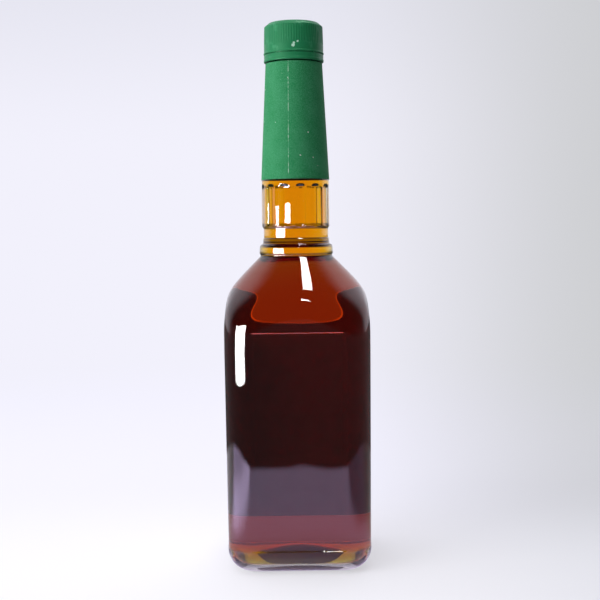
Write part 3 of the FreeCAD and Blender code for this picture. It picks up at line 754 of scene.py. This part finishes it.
@dataclass
class GlassBottle:
    """The blown glass: heel, panelled body, shoulder, collar, fluted neck and mouth."""

    form: BottleForm
    glass: FlintGlass
    columns_per_flute: int = 17
    waver: float = 0.03  # how far the skin wanders in from its plain shape
    waver_in: tuple[float, float] = (8.0, 20.0)  # heights over which it comes in
    waver_out: tuple[float, float] = (150.0, 160.0)  # and over which it fades again
    stippled_below: float = 1.6
    dome_shares: tuple[float, ...] = (0.2, 0.4, 0.6, 0.8, 0.92, 1.0)
    inner_dome_shares: tuple[float, ...] = (1.0, 0.9, 0.78, 0.64, 0.48, 0.3, 0.15)
    heel_rings: int = 14
    inner_heel_rings: int = 10
    low_ledge: float = 0.45  # half the height of the panels' lower ledge
    high_ledge: float = 0.25
    wall_step: float = 3.4
    inner_wall_step: float = 6.0
    shoulder_step: float = 1.0
    inner_shoulder_step: float = 1.5
    collar: tuple[tuple[float, float, float], ...] = (  # radius, height and rounding
        (19.95, 167.2, 0.9), (19.9, 170.4, 1.2), (19.4, 171.6, 0.7), (18.0, 172.5, 0.35),
        (17.85, 175.0, 0.4), (17.4, 175.5, 0.4), (17.5, 176.6, 1.0), (17.5, 180.7, 0.8))
    collar_foot: float = 19.1
    collar_step: float = 0.62
    mouth_step: float = 4.0

    def angles(self) -> np.ndarray:
        """Space the columns so that they fall on the edges of every flute.

        Returns:
            The polar angle of each column, in radians.
        """
        count = self.form.flute_count * self.columns_per_flute
        first = math.radians(-90 + self.form.flute_phase)
        return first + np.arange(count) * 2 * math.pi / count

    def unevenness(self, angles: np.ndarray, height: float) -> np.ndarray:
        """Work out the slow hills and hollows that the mould's chill leaves in the walls.

        Args:
            angles: polar angles in radians.
            height: height of the row.

        Returns:
            How far the skin stands out at each angle, in mm: 0 or less.
        """
        waves = (np.sin(3 * angles + height / 17 + 0.4) * np.cos(height / 11 + 1.3)
                 + 0.7 * np.sin(7 * angles - height / 9 + 2.1)
                 + 0.5 * np.sin(11 * angles + 1.7) * np.sin(height / 6.5 + 0.2))
        fade = smooth_share(height, *self.waver_in) * (1 - smooth_share(height, *self.waver_out))
        return self.waver * fade * (waves / 2.2 - 1)

    def body_row(self, angles: np.ndarray, height: float) -> np.ndarray:
        """Work out the body's outside with its label panels.

        Args:
            angles: polar angles in radians.
            height: height of the row.

        Returns:
            The radius at each angle.
        """
        form = self.form
        radius = form.column(angles, height)
        turn = from_flat(angles)
        plane = (form.half_at(height) - form.panel_depth) / np.cos(turn)
        low, high = self.low_ledge, self.high_ledge
        inside = smooth_share(height, form.panel_bottom - low, form.panel_bottom + low)
        inside *= 1 - smooth_share(height, form.panel_top - high, form.panel_top + high)
        radius = radius - inside * np.maximum(radius - plane, 0)
        return radius + self.unevenness(angles, height)

    def flutes(self, angles: np.ndarray, height: float, radius: float) -> np.ndarray:
        """Cut the flutes into a row of the neck.

        Args:
            angles: polar angles in radians.
            height: height of the row.
            radius: radius of the row outside the flutes.

        Returns:
            The radius at each angle.
        """
        form = self.form
        pitch = 2 * math.pi / form.flute_count
        turn = np.mod(angles - math.radians(-90 + form.flute_phase) + pitch / 2, pitch) - pitch / 2
        into = max(form.flute_bottom + form.flute_end - height,
                   height - form.flute_top + form.flute_end, 0)
        if into >= form.flute_end:
            return np.full(angles.shape, radius)
        cutter = form.flute_radius - form.flute_end + math.sqrt(form.flute_end ** 2 - into ** 2)
        reach = cutter ** 2 - (form.flute_axis * np.sin(turn)) ** 2
        floor = np.where(reach > 0, form.flute_axis * np.cos(turn) - np.sqrt(np.maximum(reach, 0)),
                         5 * radius)
        soft = form.crest_softness
        depth = np.clip(0.5 + (floor - radius) / (2 * soft), 0, 1)
        eased = floor * (1 - depth) + radius * depth - soft * depth * (1 - depth)
        return np.minimum(eased, radius)

    def body_heights(self) -> list[float]:
        """Space the rings from the top of the heel to the end of the shoulder.

        Returns:
            Their heights, closer together at the panels' ledges.
        """
        form = self.form
        ledges = [form.panel_bottom + k * 0.15 for k in range(-4, 5)]
        ledges += [form.panel_top + k * 0.125 for k in range(-3, 4)]
        walls = list(np.arange(form.heel + 4, form.straight_top, self.wall_step))
        shoulder = list(np.arange(form.straight_top, form.shoulder_end, self.shoulder_step))
        clear = [height for height in walls + shoulder
                 if all(abs(height - ledge) > 0.3 for ledge in ledges)]
        return sorted(clear + ledges)

    def neck_outline(self) -> list[tuple[float, float]]:
        """Draw the outside from the end of the shoulder to the mouth, collar included.

        Returns:
            Radius and height of each point.
        """
        form = self.form
        top = form.sleeve_bottom
        lower = rounded_outline([
            (form.cone_foot - form.shoulder_end, form.shoulder_end, 0),
            (self.collar_foot, form.cone_foot - self.collar_foot, 1.0),
            *self.collar,
            (form.band_radius, form.flute_bottom + 1.1, 0.8),
            (form.band_radius - 0.1, top - 1.0, 0),
        ], self.collar_step)
        upper = rounded_outline([
            (form.band_radius - 0.1, top - 1.0, 0),
            (form.cone_bottom_radius, top, 0),
            (form.cone_top_radius, form.sleeve_top, 0),
            (form.finish_radius, form.cap_bottom + 0.4, 0.4),
            (form.finish_radius, form.lip, 0.8),
            (form.mouth_bore + 1.0, form.lip, 0),
        ], self.mouth_step)
        return lower + upper[1:]

    def build(self) -> bpy.types.Object:
        """Make the glass as one closed skin, from the push-up over the lip to the floor.

        Returns:
            The glass.
        """
        form = self.form
        angles = self.angles()
        rings = Rings(angles)
        for share in self.dome_shares:
            dome = form.push_up * (1 - share ** 2) ** 1.2
            rings.add(form.push_up_radius * share, dome, Slot.STIPPLED.value)
        half = form.half_at(0)
        seat = form.square(angles, half - form.heel, form.corner - 0.63 - form.heel)
        for share in (0.5, 1.0):
            rings.add(form.push_up_radius + (seat - form.push_up_radius) * share, 0,
                      Slot.STIPPLED.value)
        for step in range(1, self.heel_rings + 1):
            angle = math.pi / 2 * step / self.heel_rings
            inset = form.heel * (1 - math.sin(angle))
            height = form.heel * (1 - math.cos(angle))
            local = form.half_at(height)
            corner = form.corner - (form.half - local) - inset
            slot = Slot.STIPPLED if height < self.stippled_below else Slot.OUTSIDE
            rings.add(form.square(angles, local - inset, corner), height, slot.value)
        for height in self.body_heights():
            rings.add(self.body_row(angles, height), height)
        for radius, height in self.neck_outline():
            rings.add(self.flutes(angles, height, radius), height)
        self.line(rings, angles, Slot.WETTED, 0.0)
        skins = [self.glass.outside(), self.glass.wetted(), self.glass.stippled()]
        return rings.object("glass_bottle", skins, form.push_up, form.base + form.inner_dome)

    def line(self, rings: Rings, angles: np.ndarray, slot: Slot, skin: float,
             top: float | None = None) -> None:
        """Add the rings of the inner skin, from the mouth or a level down to the floor.

        Args:
            rings: the mesh to add to.
            angles: its columns.
            slot: material slot of the faces.
            skin: how far the rings reach into the wall, in mm.
            top: height of the first ring, or None for the mouth.
        """
        form = self.form
        for radius, height in reversed(form.inside(skin)):
            if top is None or height < top:
                rings.add(radius, height, slot.value)
        wall = form.wall - skin
        floor = form.base - skin
        shoulder = np.arange(form.straight_top, form.shoulder_end - 0.5, self.inner_shoulder_step)
        for height in reversed(list(shoulder)):
            rings.add(form.column(angles, height, wall), height, slot.value)
        walls = np.arange(floor + form.inner_heel, form.straight_top - 2, self.inner_wall_step)
        for height in reversed(list(walls)):
            rings.add(form.square(angles, form.half_at(height) - wall, form.corner - wall),
                      height, slot.value)
        edge = np.zeros(angles.shape)
        for step in range(1, self.inner_heel_rings + 1):
            angle = math.pi / 2 * (1 - step / self.inner_heel_rings)
            inset = form.inner_heel * (1 - math.sin(angle))
            height = floor + form.inner_heel * (1 - math.cos(angle))
            local = form.half_at(height) - wall - inset
            edge = form.square(angles, local, max(form.corner - wall - inset, 1.0))
            rings.add(edge, height, slot.value)
        rings.add((edge + form.inner_dome_radius) / 2, floor, slot.value)
        for share in self.inner_dome_shares:
            rise = form.inner_dome * (1 - share ** 2) ** 1.3
            rings.add(form.inner_dome_radius * share, floor + rise, slot.value)


@dataclass
class Drink:
    """The spirit: the shape of the inside, reaching just into the wall, up to its level."""

    form: BottleForm
    spirit: AgedSpirit
    into_wall: float = 0.08
    meniscus: float = 0.8

    def build(self, bottle: GlassBottle) -> bpy.types.Object:
        """Make the drink with the bottle's own columns.

        Args:
            bottle: the glass that holds it.

        Returns:
            The drink.
        """
        angles = bottle.angles()
        rings = Rings(angles)
        level = self.form.fill_level
        radii, heights = zip(*self.form.inside(self.into_wall))
        bore = np.interp(level, heights, radii)
        for share in (0.4, 0.8, 0.95, 1.0):
            rings.add(bore * share, level + self.meniscus * (share ** 8 - 1))
        bottle.line(rings, angles, Slot.OUTSIDE, self.into_wall, level - 0.2)
        return rings.object("bourbon_fill", [self.spirit.material()], level - self.meniscus,
                            self.form.base + self.form.inner_dome - self.into_wall, 60)


@dataclass
class ScrewCap:
    """The cap: bevelled top, fine grip ribs, bead, tear line with bridges and rolled lip."""

    form: BottleForm
    plastic: MouldedCapPlastic
    radius: float = 15.93
    top_radius: float = 15.68
    bevel_height: float = 2.0
    bevel_inset: float = 2.4
    wall: float = 1.4
    top: float = 290.0
    rib_count: int = 72
    columns_per_rib: int = 6
    rib_bottom: float = 278.0
    rib_depth: float = 0.16
    bead_height: float = 273.9
    bead_proud: float = 0.24
    tear_width: float = 0.45
    tear_depth: float = 0.55
    bridge_count: int = 9
    bridge_angle: float = 4.0
    lip_proud: float = 0.15

    def side(self) -> list[tuple[float, float]]:
        """Draw the outside from the lip up over the bevel to the flat top.

        Returns:
            Radius and height of each point.
        """
        foot, bead, bevel = self.form.cap_bottom, self.bead_height, self.top - self.bevel_height
        slit = bead - 0.4
        return rounded_outline([
            (self.radius - self.wall, foot, 0),
            (self.radius + self.lip_proud, foot, 0.35),
            (self.radius + self.lip_proud, foot + 1.2, 0.4),
            (self.radius, foot + 1.5, 0.3),
            (self.radius, slit - self.tear_width, 0.1),
            (self.radius - self.tear_depth, slit - self.tear_width, 0.05),
            (self.radius - self.tear_depth, slit, 0.05),
            (self.radius + self.bead_proud, slit, 0.15),
            (self.radius + self.bead_proud, bead + 0.2, 0.15),
            (self.radius, bead + 0.6, 0.3),
            (self.radius, self.rib_bottom, 0),
            (self.top_radius, bevel, 0.6),
            (self.top_radius - self.bevel_inset, self.top, 0.7),
            (self.top_radius - self.bevel_inset - 3, self.top, 0),
        ], 0.6)

    def build(self) -> bpy.types.Object:
        """Make the cap as a closed shell over the mouth.

        Returns:
            The cap.
        """
        count = self.rib_count * self.columns_per_rib
        angles = np.arange(count) * 2 * math.pi / count
        rings = Rings(angles)
        ribs = 0.5 - 0.5 * np.cos(angles * self.rib_count)
        pitch = 2 * math.pi / self.bridge_count
        turn = np.mod(angles + 0.2, pitch) * 180 / math.pi
        bridged = 1 - smooth_share(turn, self.bridge_angle - 0.6, self.bridge_angle + 0.6)
        bore = self.radius - self.wall
        roof = self.form.lip
        rings.add(bore * 0.5, roof)
        rings.add(bore, roof)
        rings.add(bore, (roof + self.form.cap_bottom) / 2)
        low = self.bead_height - 0.4 - self.tear_width - 0.12
        for radius, height in self.side():
            row = np.full(angles.shape, radius)
            if low < height < self.bead_height - 0.28 and radius < self.radius:
                row = row + (self.radius - row) * bridged
            into = smooth_share(height, self.rib_bottom - 0.1, self.rib_bottom + 0.5)
            into *= 1 - smooth_share(height, self.top - 1.9, self.top - 0.9)
            rings.add(row - self.rib_depth * into * ribs, height)
        rings.add(6.0, self.top)
        return rings.object("screw_cap", [self.plastic.material()], roof, self.top, 50)


@dataclass
class NeckSleeve:
    """The paper round the neck: one wrap, with its outer end lying over the inner one."""

    form: BottleForm
    paper: PrintedNeckPaper
    thickness: float = 0.2
    seam: float = -101.3
    overlap: float = 40.0
    flap_lift: float = 0.6
    corner: float = 3.0
    columns: int = 240
    rows: int = 26
    flap_rows: int = 40

    def wrap(self) -> bpy.types.Object:
        """Make the wrap itself, a closed band on the neck's cone.

        Returns:
            The wrap.
        """
        angles = np.radians(self.seam + np.arange(self.columns) * (360 / self.columns))
        rings = Rings(angles)
        bottom, top = self.form.sleeve_bottom, self.form.sleeve_top
        heights = np.linspace(bottom, top, self.rows)
        for height in heights:
            rings.add(self.form.paper_radius(height) + 0.01, height, 0)
        for height in reversed(heights):
            slot = 1 if height == top else 0
            rings.add(self.form.paper_radius(height) + self.thickness, height, slot)
        rings.slots[0] = 1
        faces = [self.paper.printed(), self.paper.cut_edge()]
        return rings.object("neck_sleeve_wrap", faces, None, None)

    def flap(self) -> bpy.types.Object:
        """Make the outer end, a sheet with a rounded lower corner that thins out where it merges.

        Returns:
            The outer end.
        """
        bottom, top = self.form.sleeve_bottom + self.flap_lift, self.form.sleeve_top
        turns = np.array([0, 0.6, 1.2, 1.8, 2.4, 3.6, 5, 6.5, 8, 9.7, 11.5, 14, 18, 22, 26, 30, 34, 37,
                          self.overlap])
        arcs = np.radians(turns) * self.form.cone_bottom_radius
        short = np.maximum(self.corner - arcs, 0)
        rise = self.corner - np.sqrt(self.corner ** 2 - short ** 2)
        share = np.linspace(0, 1, self.flap_rows)
        height = (bottom + rise)[:, None] + (top - bottom - rise)[:, None] * share
        fade = 1 - smooth_share(turns, self.overlap * 0.5, self.overlap)
        cone = self.form.paper_radius(height)
        inner, outer = [grid(np.radians(self.seam + turns), cone + lift[:, None], height)
                        for lift in (0.6 * self.thickness * np.ones_like(turns),
                                     self.thickness * (1 + fade))]
        printed = self.paper.printed()
        return make_plate("neck_sleeve_flap", inner, outer,
                          [printed, self.paper.cut_edge(), printed], bare_columns=1)


@dataclass
class WrapLabel:
    """A blank label wet-glued round the front and both sides."""

    form: BottleForm
    paper: LabelPaper
    bottom: float = 17.8
    top: float = 126.7
    back: float = 21.95  # how far behind the middle it ends, on the sides
    thickness: float = 0.2
    into_wall: float = 0.1
    columns: int = 241
    wall_step: float = 7.0
    shoulder_step: float = 1.5

    def surface(self, angles: np.ndarray, height: float, lift: float) -> np.ndarray:
        """Work out a row of the panelled body, moved out.

        Args:
            angles: polar angles in radians.
            height: height of the row.
            lift: how far the row is moved out.

        Returns:
            The radius at each angle.
        """
        turn = from_flat(angles)
        plane = (self.form.half_at(height) - self.form.panel_depth + lift) / np.cos(turn)
        return np.minimum(plane, self.form.column(angles, height, -lift))

    def build(self) -> bpy.types.Object:
        """Make the label as one closed sheet; its glue reaches just into the glass.

        Returns:
            The label.
        """
        end = math.atan2(self.back, self.form.half)
        angles = np.linspace(-end, math.pi + end, self.columns)
        heights = np.concatenate([
            np.arange(self.bottom, self.form.straight_top, self.wall_step),
            np.arange(self.form.straight_top, self.top, self.shoulder_step), [self.top]])
        sides = []
        for lift in (-self.into_wall, self.thickness):
            radius = np.stack([self.surface(angles, height, lift) for height in heights], 1)
            sides.append(grid(angles, radius, np.broadcast_to(heights, radius.shape)))
        face = self.paper.front()
        return make_plate("blank_label", *sides, [face, face, self.paper.back()])


# ---------------------------------------------------------------- studio

@dataclass(frozen=True)
class Lamp:
    """A glowing panel that mirrors brightly in gloss and lights the rest gently, in metres."""

    name: str
    middle: tuple[float, float, float]
    width: float
    height: float
    aim: tuple[float, float, float]
    glare: float  # its brightness in reflections
    light: float  # its brightness as a lamp

    def build(self) -> bpy.types.Object:
        """Make the panel, facing its aim and hidden from the camera.

        Returns:
            The panel.
        """
        material, tree = new_material(self.name)
        glossy = add(tree, "LightPath").outputs["Is Glossy Ray"]
        level = add(tree, "Math", {0: glossy, 1: self.glare - self.light, 2: self.light},
                    operation="MULTIPLY_ADD")
        rear = add(tree, "NewGeometry").outputs["Backfacing"]
        front = add(tree, "Math", {0: 1.0, 1: rear}, operation="SUBTRACT")
        strength = add(tree, "Math", {0: level, 1: front}, operation="MULTIPLY")
        shader = add(tree, "Emission", {"Color": (1, 1, 1, 1), "Strength": strength})
        add(tree, "OutputMaterial", {"Surface": shader})
        across, up = self.width / 2, self.height / 2
        points = [(-across, -up, 0), (across, -up, 0), (across, up, 0), (-across, up, 0)]
        sheet = make_object(self.name, points, [(0, 1, 2, 3)], [0], [material], 30)
        sheet.location = self.middle
        toward = Vector(self.aim) - Vector(self.middle)
        sheet.rotation_euler = toward.to_track_quat("Z", "Y").to_euler()
        sheet.visible_camera = False
        sheet.visible_transmission = False
        sheet.visible_glossy = self.glare > 0
        return sheet


@dataclass
class Studio:
    """A wide pale floor, mirrored as a painted pool of light that ends in front of the bottle, a pale
    background and soft lamps.

    Lamps and fill light the bottle at a plain level. How bright the table and the background
    look to the camera, in gloss and through glass is set for each kind of ray. Lengths are in
    metres.
    """

    pale: str = "#f2f1fc"
    pale_right: str = "#cdced1"
    pale_top: str = "#e1e1ec"
    # near and near_right: the floor in front of the bottle, painted whiter as a pool of light
    near: str = "#fbfaff"
    near_right: str = "#dddee3"
    # bounce: the grey that the pale floor bounces, a painted dimming of the light from below
    bounce: str = "#8c8c90"
    room: str = "#36363a"
    room_low: str = "#66686b"
    # under: the table right under the bottle as seen through the glass, painted pale as if lit through it
    under: str = "#d8d4cf"
    shade: str = "#7b7b80"
    shade_far: str = "#9a9a9e"
    grey: Change = Change(-0.02, 0.30)  # over the bearing, from pale to the grey at the right, painted shade on the side away from the key
    top: Change = Change(0.06, 0.24, 0.0, 0.8)  # over the height, to the background's top
    overhead: Change = Change(0.06, 0.20)  # over the height seen through glass, to shade
    rear: Change = Change(0.1, 0.5)  # over the depth that gloss mirrors, from room to background
    fill_colour: str = "#f4f3fb"
    fill: Change = Change(-0.3, 0.8, 1.7, 0.1)  # over the turn towards the dim side
    dim_side: tuple[float, float, float] = (0.87, -0.5, 0.0)
    table_half: float = 6.0
    fan: float = 0.6  # how far in front of the bottle the table's shades fan out from
    behind: Change = Change(-0.06, 0.17)  # over the depth, from the whiter near floor, painted light, to the far one
    remote: Change = Change(0.3, 1.0)  # over the distance, to the far shade
    glow: Change = Change(0.15, 1.0, 0.97, 1.0)  # brightness over the distance
    unshadowed: Change = Change(0.15, 1.0, 0.6, 1.0)  # share of that glow over the distance
    dull: Change = Change(0.04, 0.09)  # over the distance, from the painted pale bounce under the bottle to the grey bounce
    table_glare: tuple[float, float, float] = (1.75, 1.45, 2.25)
    glare_far_left: Change = Change(-0.30, -0.17, 0.5, 1.0)
    glare_left: Change = Change(-0.16, -0.08, 3.2, 1.0)
    glare_right: Change = Change(0.08, 0.16, 1.0, 0.3)
    # painted contact shadow: the mirrored glare is halved close to the bottle and full from 13 cm out
    contact_shadow: Change = Change(0.065, 0.13, 0.5, 1.0)
    pool_end: Change = Change(-0.04, 0.04)  # over the depth, from the pool to the table beside it
    pool_side: Change = Change(-0.1, 0.2)
    # the painted pool of light that gloss shows on the table, and its painted rim, beyond which gloss shows
    # the dim room
    pool_half_width: float = 0.36
    pool_front: float = 0.285
    pool_rim: Change = Change(0.9, 1.1)
    under_bottle: Change = Change(0.03, 0.06)
    near_bottle: Change = Change(0.1, 0.26)
    table_edge: Change = Change(4.5, 6.0)
    lamp_glare: float = 30.0
    softbox_bearing: float = 57.0
    softbox_away: float = 0.5
    softbox_middle: float = 0.117

    @staticmethod
    def sharp_ray(tree: bpy.types.NodeTree) -> bpy.types.Node:
        """Tell rays that come straight from the camera by way of glass or gloss.

        Args:
            tree: the material's or world's tree.

        Returns:
            A node that gives 1 for such rays and 0 for all others.
        """
        light = add(tree, "LightPath")
        first = add(tree, "Math", {0: light.outputs["Diffuse Depth"], 1: 0.5}, operation="LESS_THAN")
        return add(tree, "Math", {0: first, 1: light.outputs["Is Glossy Ray"]}, operation="MULTIPLY")

    def table(self) -> bpy.types.Object:
        """Make a wide pale floor whose far reaches take the background's colour.

        Returns:
            The floor.
        """
        material, tree = new_material("table_top")
        where = add(tree, "TexCoord").outputs["Object"]
        parts = add(tree, "SeparateXYZ", {"Vector": where})
        distance = add(tree, "VectorMath", {0: where}, operation="LENGTH")
        away = add(tree, "Math", {0: distance, 1: self.fan}, operation="ADD")
        bearing = add(tree, "Math", {0: parts.outputs["X"], 1: away}, operation="DIVIDE")
        side = add(tree, "MapRange", self.grey.of(bearing), **EASED)
        far = add(tree, "Mix", {0: side, 6: linear(self.pale), 7: linear(self.pale_right)}, **TINTED)
        near = add(tree, "Mix", {0: side, 6: linear(self.near), 7: linear(self.near_right)}, **TINTED)
        behind = add(tree, "MapRange", self.behind.of(parts.outputs["Y"]), **EASED)
        colour = add(tree, "Mix", {0: behind, 6: near, 7: far}, **TINTED)
        remote = add(tree, "MapRange", self.remote.of(distance), **EASED)
        colour = add(tree, "Mix", {0: remote, 6: colour, 7: far}, **TINTED)
        light = add(tree, "LightPath")
        camera = light.outputs["Is Camera Ray"]
        # painted light: the floor bounces pale light within a few cm of the bottle and grey light beyond
        dull = add(tree, "MapRange", self.dull.of(distance), **EASED)
        bounce = add(tree, "Mix", {0: dull, 6: linear(self.near), 7: linear(self.bounce)}, **TINTED)
        lit = add(tree, "Mix", {0: camera, 6: bounce, 7: colour}, **TINTED)
        diffuse = add(tree, "BsdfDiffuse", {"Color": lit})
        strength = add(tree, "MapRange", self.glow.of(distance), **EASED)
        glow = add(tree, "Emission", {"Color": colour, "Strength": strength})
        unshadowed = add(tree, "MapRange", self.unshadowed.of(distance), **EASED)
        share = add(tree, "Math", {0: unshadowed, 1: camera}, operation="MULTIPLY")
        seen = add(tree, "MixShader", {0: share, 1: diffuse, 2: glow})
        shown = add(tree, "Mix", {0: light.outputs["Is Transmission Ray"],
                                  6: self.mirrored_table(tree, parts, distance),
                                  7: self.shaded_table(tree, distance)}, **TINTED)
        glare = add(tree, "Emission", {"Color": shown, "Strength": 1.0})
        shader = add(tree, "MixShader", {0: self.sharp_ray(tree), 1: seen, 2: glare})
        add(tree, "OutputMaterial", {"Surface": shader})
        half = self.table_half
        points = [(-half, -half, 0), (half, -half, 0), (half, half, 0), (-half, half, 0)]
        floor = make_object("table", points, [(0, 1, 2, 3)], [0], [material], 30)
        return floor

    def mirrored_table(self, tree: bpy.types.NodeTree, parts: bpy.types.Node,
                       distance: bpy.types.Node) -> bpy.types.Node:
        """Colour the table as gloss mirrors it: a painted pool of light in front, brightest at the left,
        with a painted contact shadow close to the bottle and a painted rim beyond which the dim room shows.

        Args:
            tree: the table's tree.
            parts: gives the place on the table as X, Y and Z.
            distance: gives the distance from the bottle's middle.

        Returns:
            The node that gives the colour.
        """
        across, depth = parts.outputs["X"], parts.outputs["Y"]
        level: Any = 1.0
        for change, measure in ((self.glare_left, across), (self.glare_right, across),
                                (self.contact_shadow, distance), (self.glare_far_left, across)):
            step = add(tree, "MapRange", change.of(measure), **EASED)
            level = add(tree, "Math", {0: level, 1: step}, operation="MULTIPLY")
        pool = add(tree, "VectorMath", {0: self.table_glare, "Scale": level}, operation="SCALE")
        # beside the pool, gloss shows the table pale at the left and in painted shade at the right
        side = add(tree, "MapRange", self.pool_side.of(across), **EASED)
        beside = add(tree, "Mix", {0: side, 6: linear(self.pale), 7: linear(self.shade_far)}, **TINTED)
        end = add(tree, "MapRange", self.pool_end.of(depth), **EASED)
        lit = add(tree, "Mix", {0: end, 6: pool, 7: beside}, **TINTED)
        wide = add(tree, "Math", {0: across, 1: self.pool_half_width}, operation="DIVIDE")
        long = add(tree, "Math", {0: depth, 1: self.pool_front}, operation="DIVIDE")
        wide = add(tree, "Math", {0: wide, 1: 2.0}, operation="POWER")
        long = add(tree, "Math", {0: long, 1: 2.0}, operation="POWER")
        reach = add(tree, "Math", {0: wide, 1: long}, operation="ADD")
        rim = add(tree, "MapRange", self.pool_rim.of(reach), **EASED)
        return add(tree, "Mix", {0: rim, 6: lit, 7: linear(self.room_low)}, **TINTED)

    def shaded_table(self, tree: bpy.types.NodeTree, distance: bpy.types.Node) -> bpy.types.Node:
        """Colour the table as it shows through the bottle: pale under it as painted light through the
        glass, then in the bottle's own painted shade.

        Args:
            tree: the table's tree.
            distance: gives the distance from the bottle's middle.

        Returns:
            The node that gives the colour.
        """
        colour: Any = linear(self.under)
        for change, farther in ((self.under_bottle, self.shade), (self.near_bottle, self.shade_far),
                                (self.table_edge, self.pale)):
            share = add(tree, "MapRange", change.of(distance), **EASED)
            colour = add(tree, "Mix", {0: share, 6: colour, 7: linear(farther)}, **TINTED)
        return colour

    def world(self) -> None:
        """Make it pale behind the bottle and dim in front, with a fill stronger from the left."""
        world = bpy.data.worlds.new("studio")
        bpy.context.scene.world = world
        world.use_nodes = True
        tree = world.node_tree
        tree.nodes.clear()
        ray = add(tree, "TexCoord").outputs["Generated"]
        parts = add(tree, "SeparateXYZ", {"Vector": ray})
        light = add(tree, "LightPath")
        side = add(tree, "MapRange", self.grey.of(parts.outputs["X"]), **EASED)
        pale = add(tree, "Mix", {0: side, 6: linear(self.pale), 7: linear(self.pale_right)}, **TINTED)
        top = add(tree, "Mix", {0: side, 6: linear(self.pale_top), 7: linear(self.pale_right)}, **TINTED)
        high = add(tree, "MapRange", self.top.of(parts.outputs["Z"]), **EASED)
        backdrop = add(tree, "Mix", {0: high, 6: pale, 7: top}, **TINTED)
        overhead = add(tree, "MapRange", self.overhead.of(parts.outputs["Z"]), **EASED)
        through = add(tree, "Mix", {0: overhead, 6: linear(self.pale), 7: linear(self.shade)}, **TINTED)
        rear = add(tree, "MapRange", self.rear.of(parts.outputs["Y"]), **EASED)
        mirror = add(tree, "Mix", {0: rear, 6: linear(self.room), 7: linear(self.pale)}, **TINTED)
        shown = add(tree, "Mix", {0: light.outputs["Is Transmission Ray"], 6: mirror, 7: through}, **TINTED)
        toward = add(tree, "VectorMath", {0: ray, 1: self.dim_side}, operation="DOT_PRODUCT")
        level = add(tree, "MapRange", self.fill.of(toward), **EASED)
        fill = add(tree, "Background", {"Color": linear(self.fill_colour), "Strength": level})
        mirrored = add(tree, "Background", {"Color": shown, "Strength": 1.0})
        seen = add(tree, "Background", {"Color": backdrop, "Strength": 1.0})
        first = add(tree, "MixShader", {0: self.sharp_ray(tree), 1: fill, 2: mirrored})
        both = add(tree, "MixShader", {0: light.outputs["Is Camera Ray"], 1: first, 2: seen})
        add(tree, "OutputWorld", {"Surface": both})

    def lamps(self) -> None:
        """Make a low softbox and a soft key at the left, a strip overhead and a window in front."""
        bearing, middle = math.radians(self.softbox_bearing), self.softbox_middle
        softbox = (-self.softbox_away * math.sin(bearing), -self.softbox_away * math.cos(bearing), middle)
        for lamp in (
                Lamp("softbox_left", softbox, 0.33, 0.174, (0, 0, middle), self.lamp_glare, 0.5),
                Lamp("key_left", (-1.2, -0.8, 0.75), 0.9, 0.9, (0, 0, 0.15), 0.0, 6.0),
                Lamp("overhead_strip", (0.19, -0.17, 1.15), 0.17, 0.55, (0.19, -0.17, 0.15),
                     self.lamp_glare, 1.2),
                Lamp("front_window", (0.085, -0.95, 0.70), 0.10, 0.12, (0, 0, 0.14),
                     self.lamp_glare, 0.5)):
            lamp.build()


@dataclass
class View:
    """The camera: low behind the bottle, a little tilted down and rolled."""

    place: tuple[float, float, float] = (0.0017, -0.6084, 0.18228)
    pitch: float = 3.84
    roll: float = -0.74
    lens: float = 67.04
    sensor: float = 36.0
    clip_start: float = 0.02

    def build(self) -> bpy.types.Object:
        """Make the camera and put it in charge.

        Returns:
            The camera.
        """
        data = bpy.data.cameras.new("camera")
        data.lens = self.lens
        data.sensor_width = self.sensor
        data.clip_start = self.clip_start
        camera = bpy.data.objects.new("camera", data)
        camera.location = self.place
        turn = Euler((math.radians(90 - self.pitch), 0, 0)).to_matrix()
        roll = Euler((0, 0, math.radians(self.roll))).to_matrix()
        camera.rotation_euler = (turn @ roll).to_euler()
        bpy.context.scene.collection.objects.link(camera)
        bpy.context.scene.camera = camera
        return camera


# ---------------------------------------------------------------- the whole

def place(piece: bpy.types.Object, node: str, slot: str) -> None:
    """Let a piece ride on the bottle, stand for a CAD node and report itself.

    Args:
        piece: the piece.
        node: the CAD node that it stands for.
        slot: the record's material slot of the piece; not used.
    """
    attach(piece, "root")
    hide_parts(node)
    LOG.info("%s: %d faces, stands for %s", piece.name, len(piece.data.polygons), node)


def main() -> None:
    """Build the pieces in order, then the studio and the camera."""
    logging.basicConfig(level=logging.INFO, format="%(name)s %(message)s")
    form = BottleForm()
    bottle = GlassBottle(form, FlintGlass())
    place(bottle.build(), "bottle", "glass")
    place(Drink(form, AgedSpirit()).build(bottle), "bourbon", "bourbon")
    place(ScrewCap(form, MouldedCapPlastic()).build(), "cap", "cap")
    sleeve = NeckSleeve(form, PrintedNeckPaper())
    place(sleeve.wrap(), "neck_sleeve", "neck_paper")
    place(sleeve.flap(), "neck_sleeve", "neck_paper")
    place(WrapLabel(form, LabelPaper()).build(), "label", "label_paper")
    studio = Studio()
    studio.table()
    studio.world()
    studio.lamps()
    View().build()
    bpy.context.scene.view_settings.view_transform = "Standard"


if __name__ == "__main__":
    main()
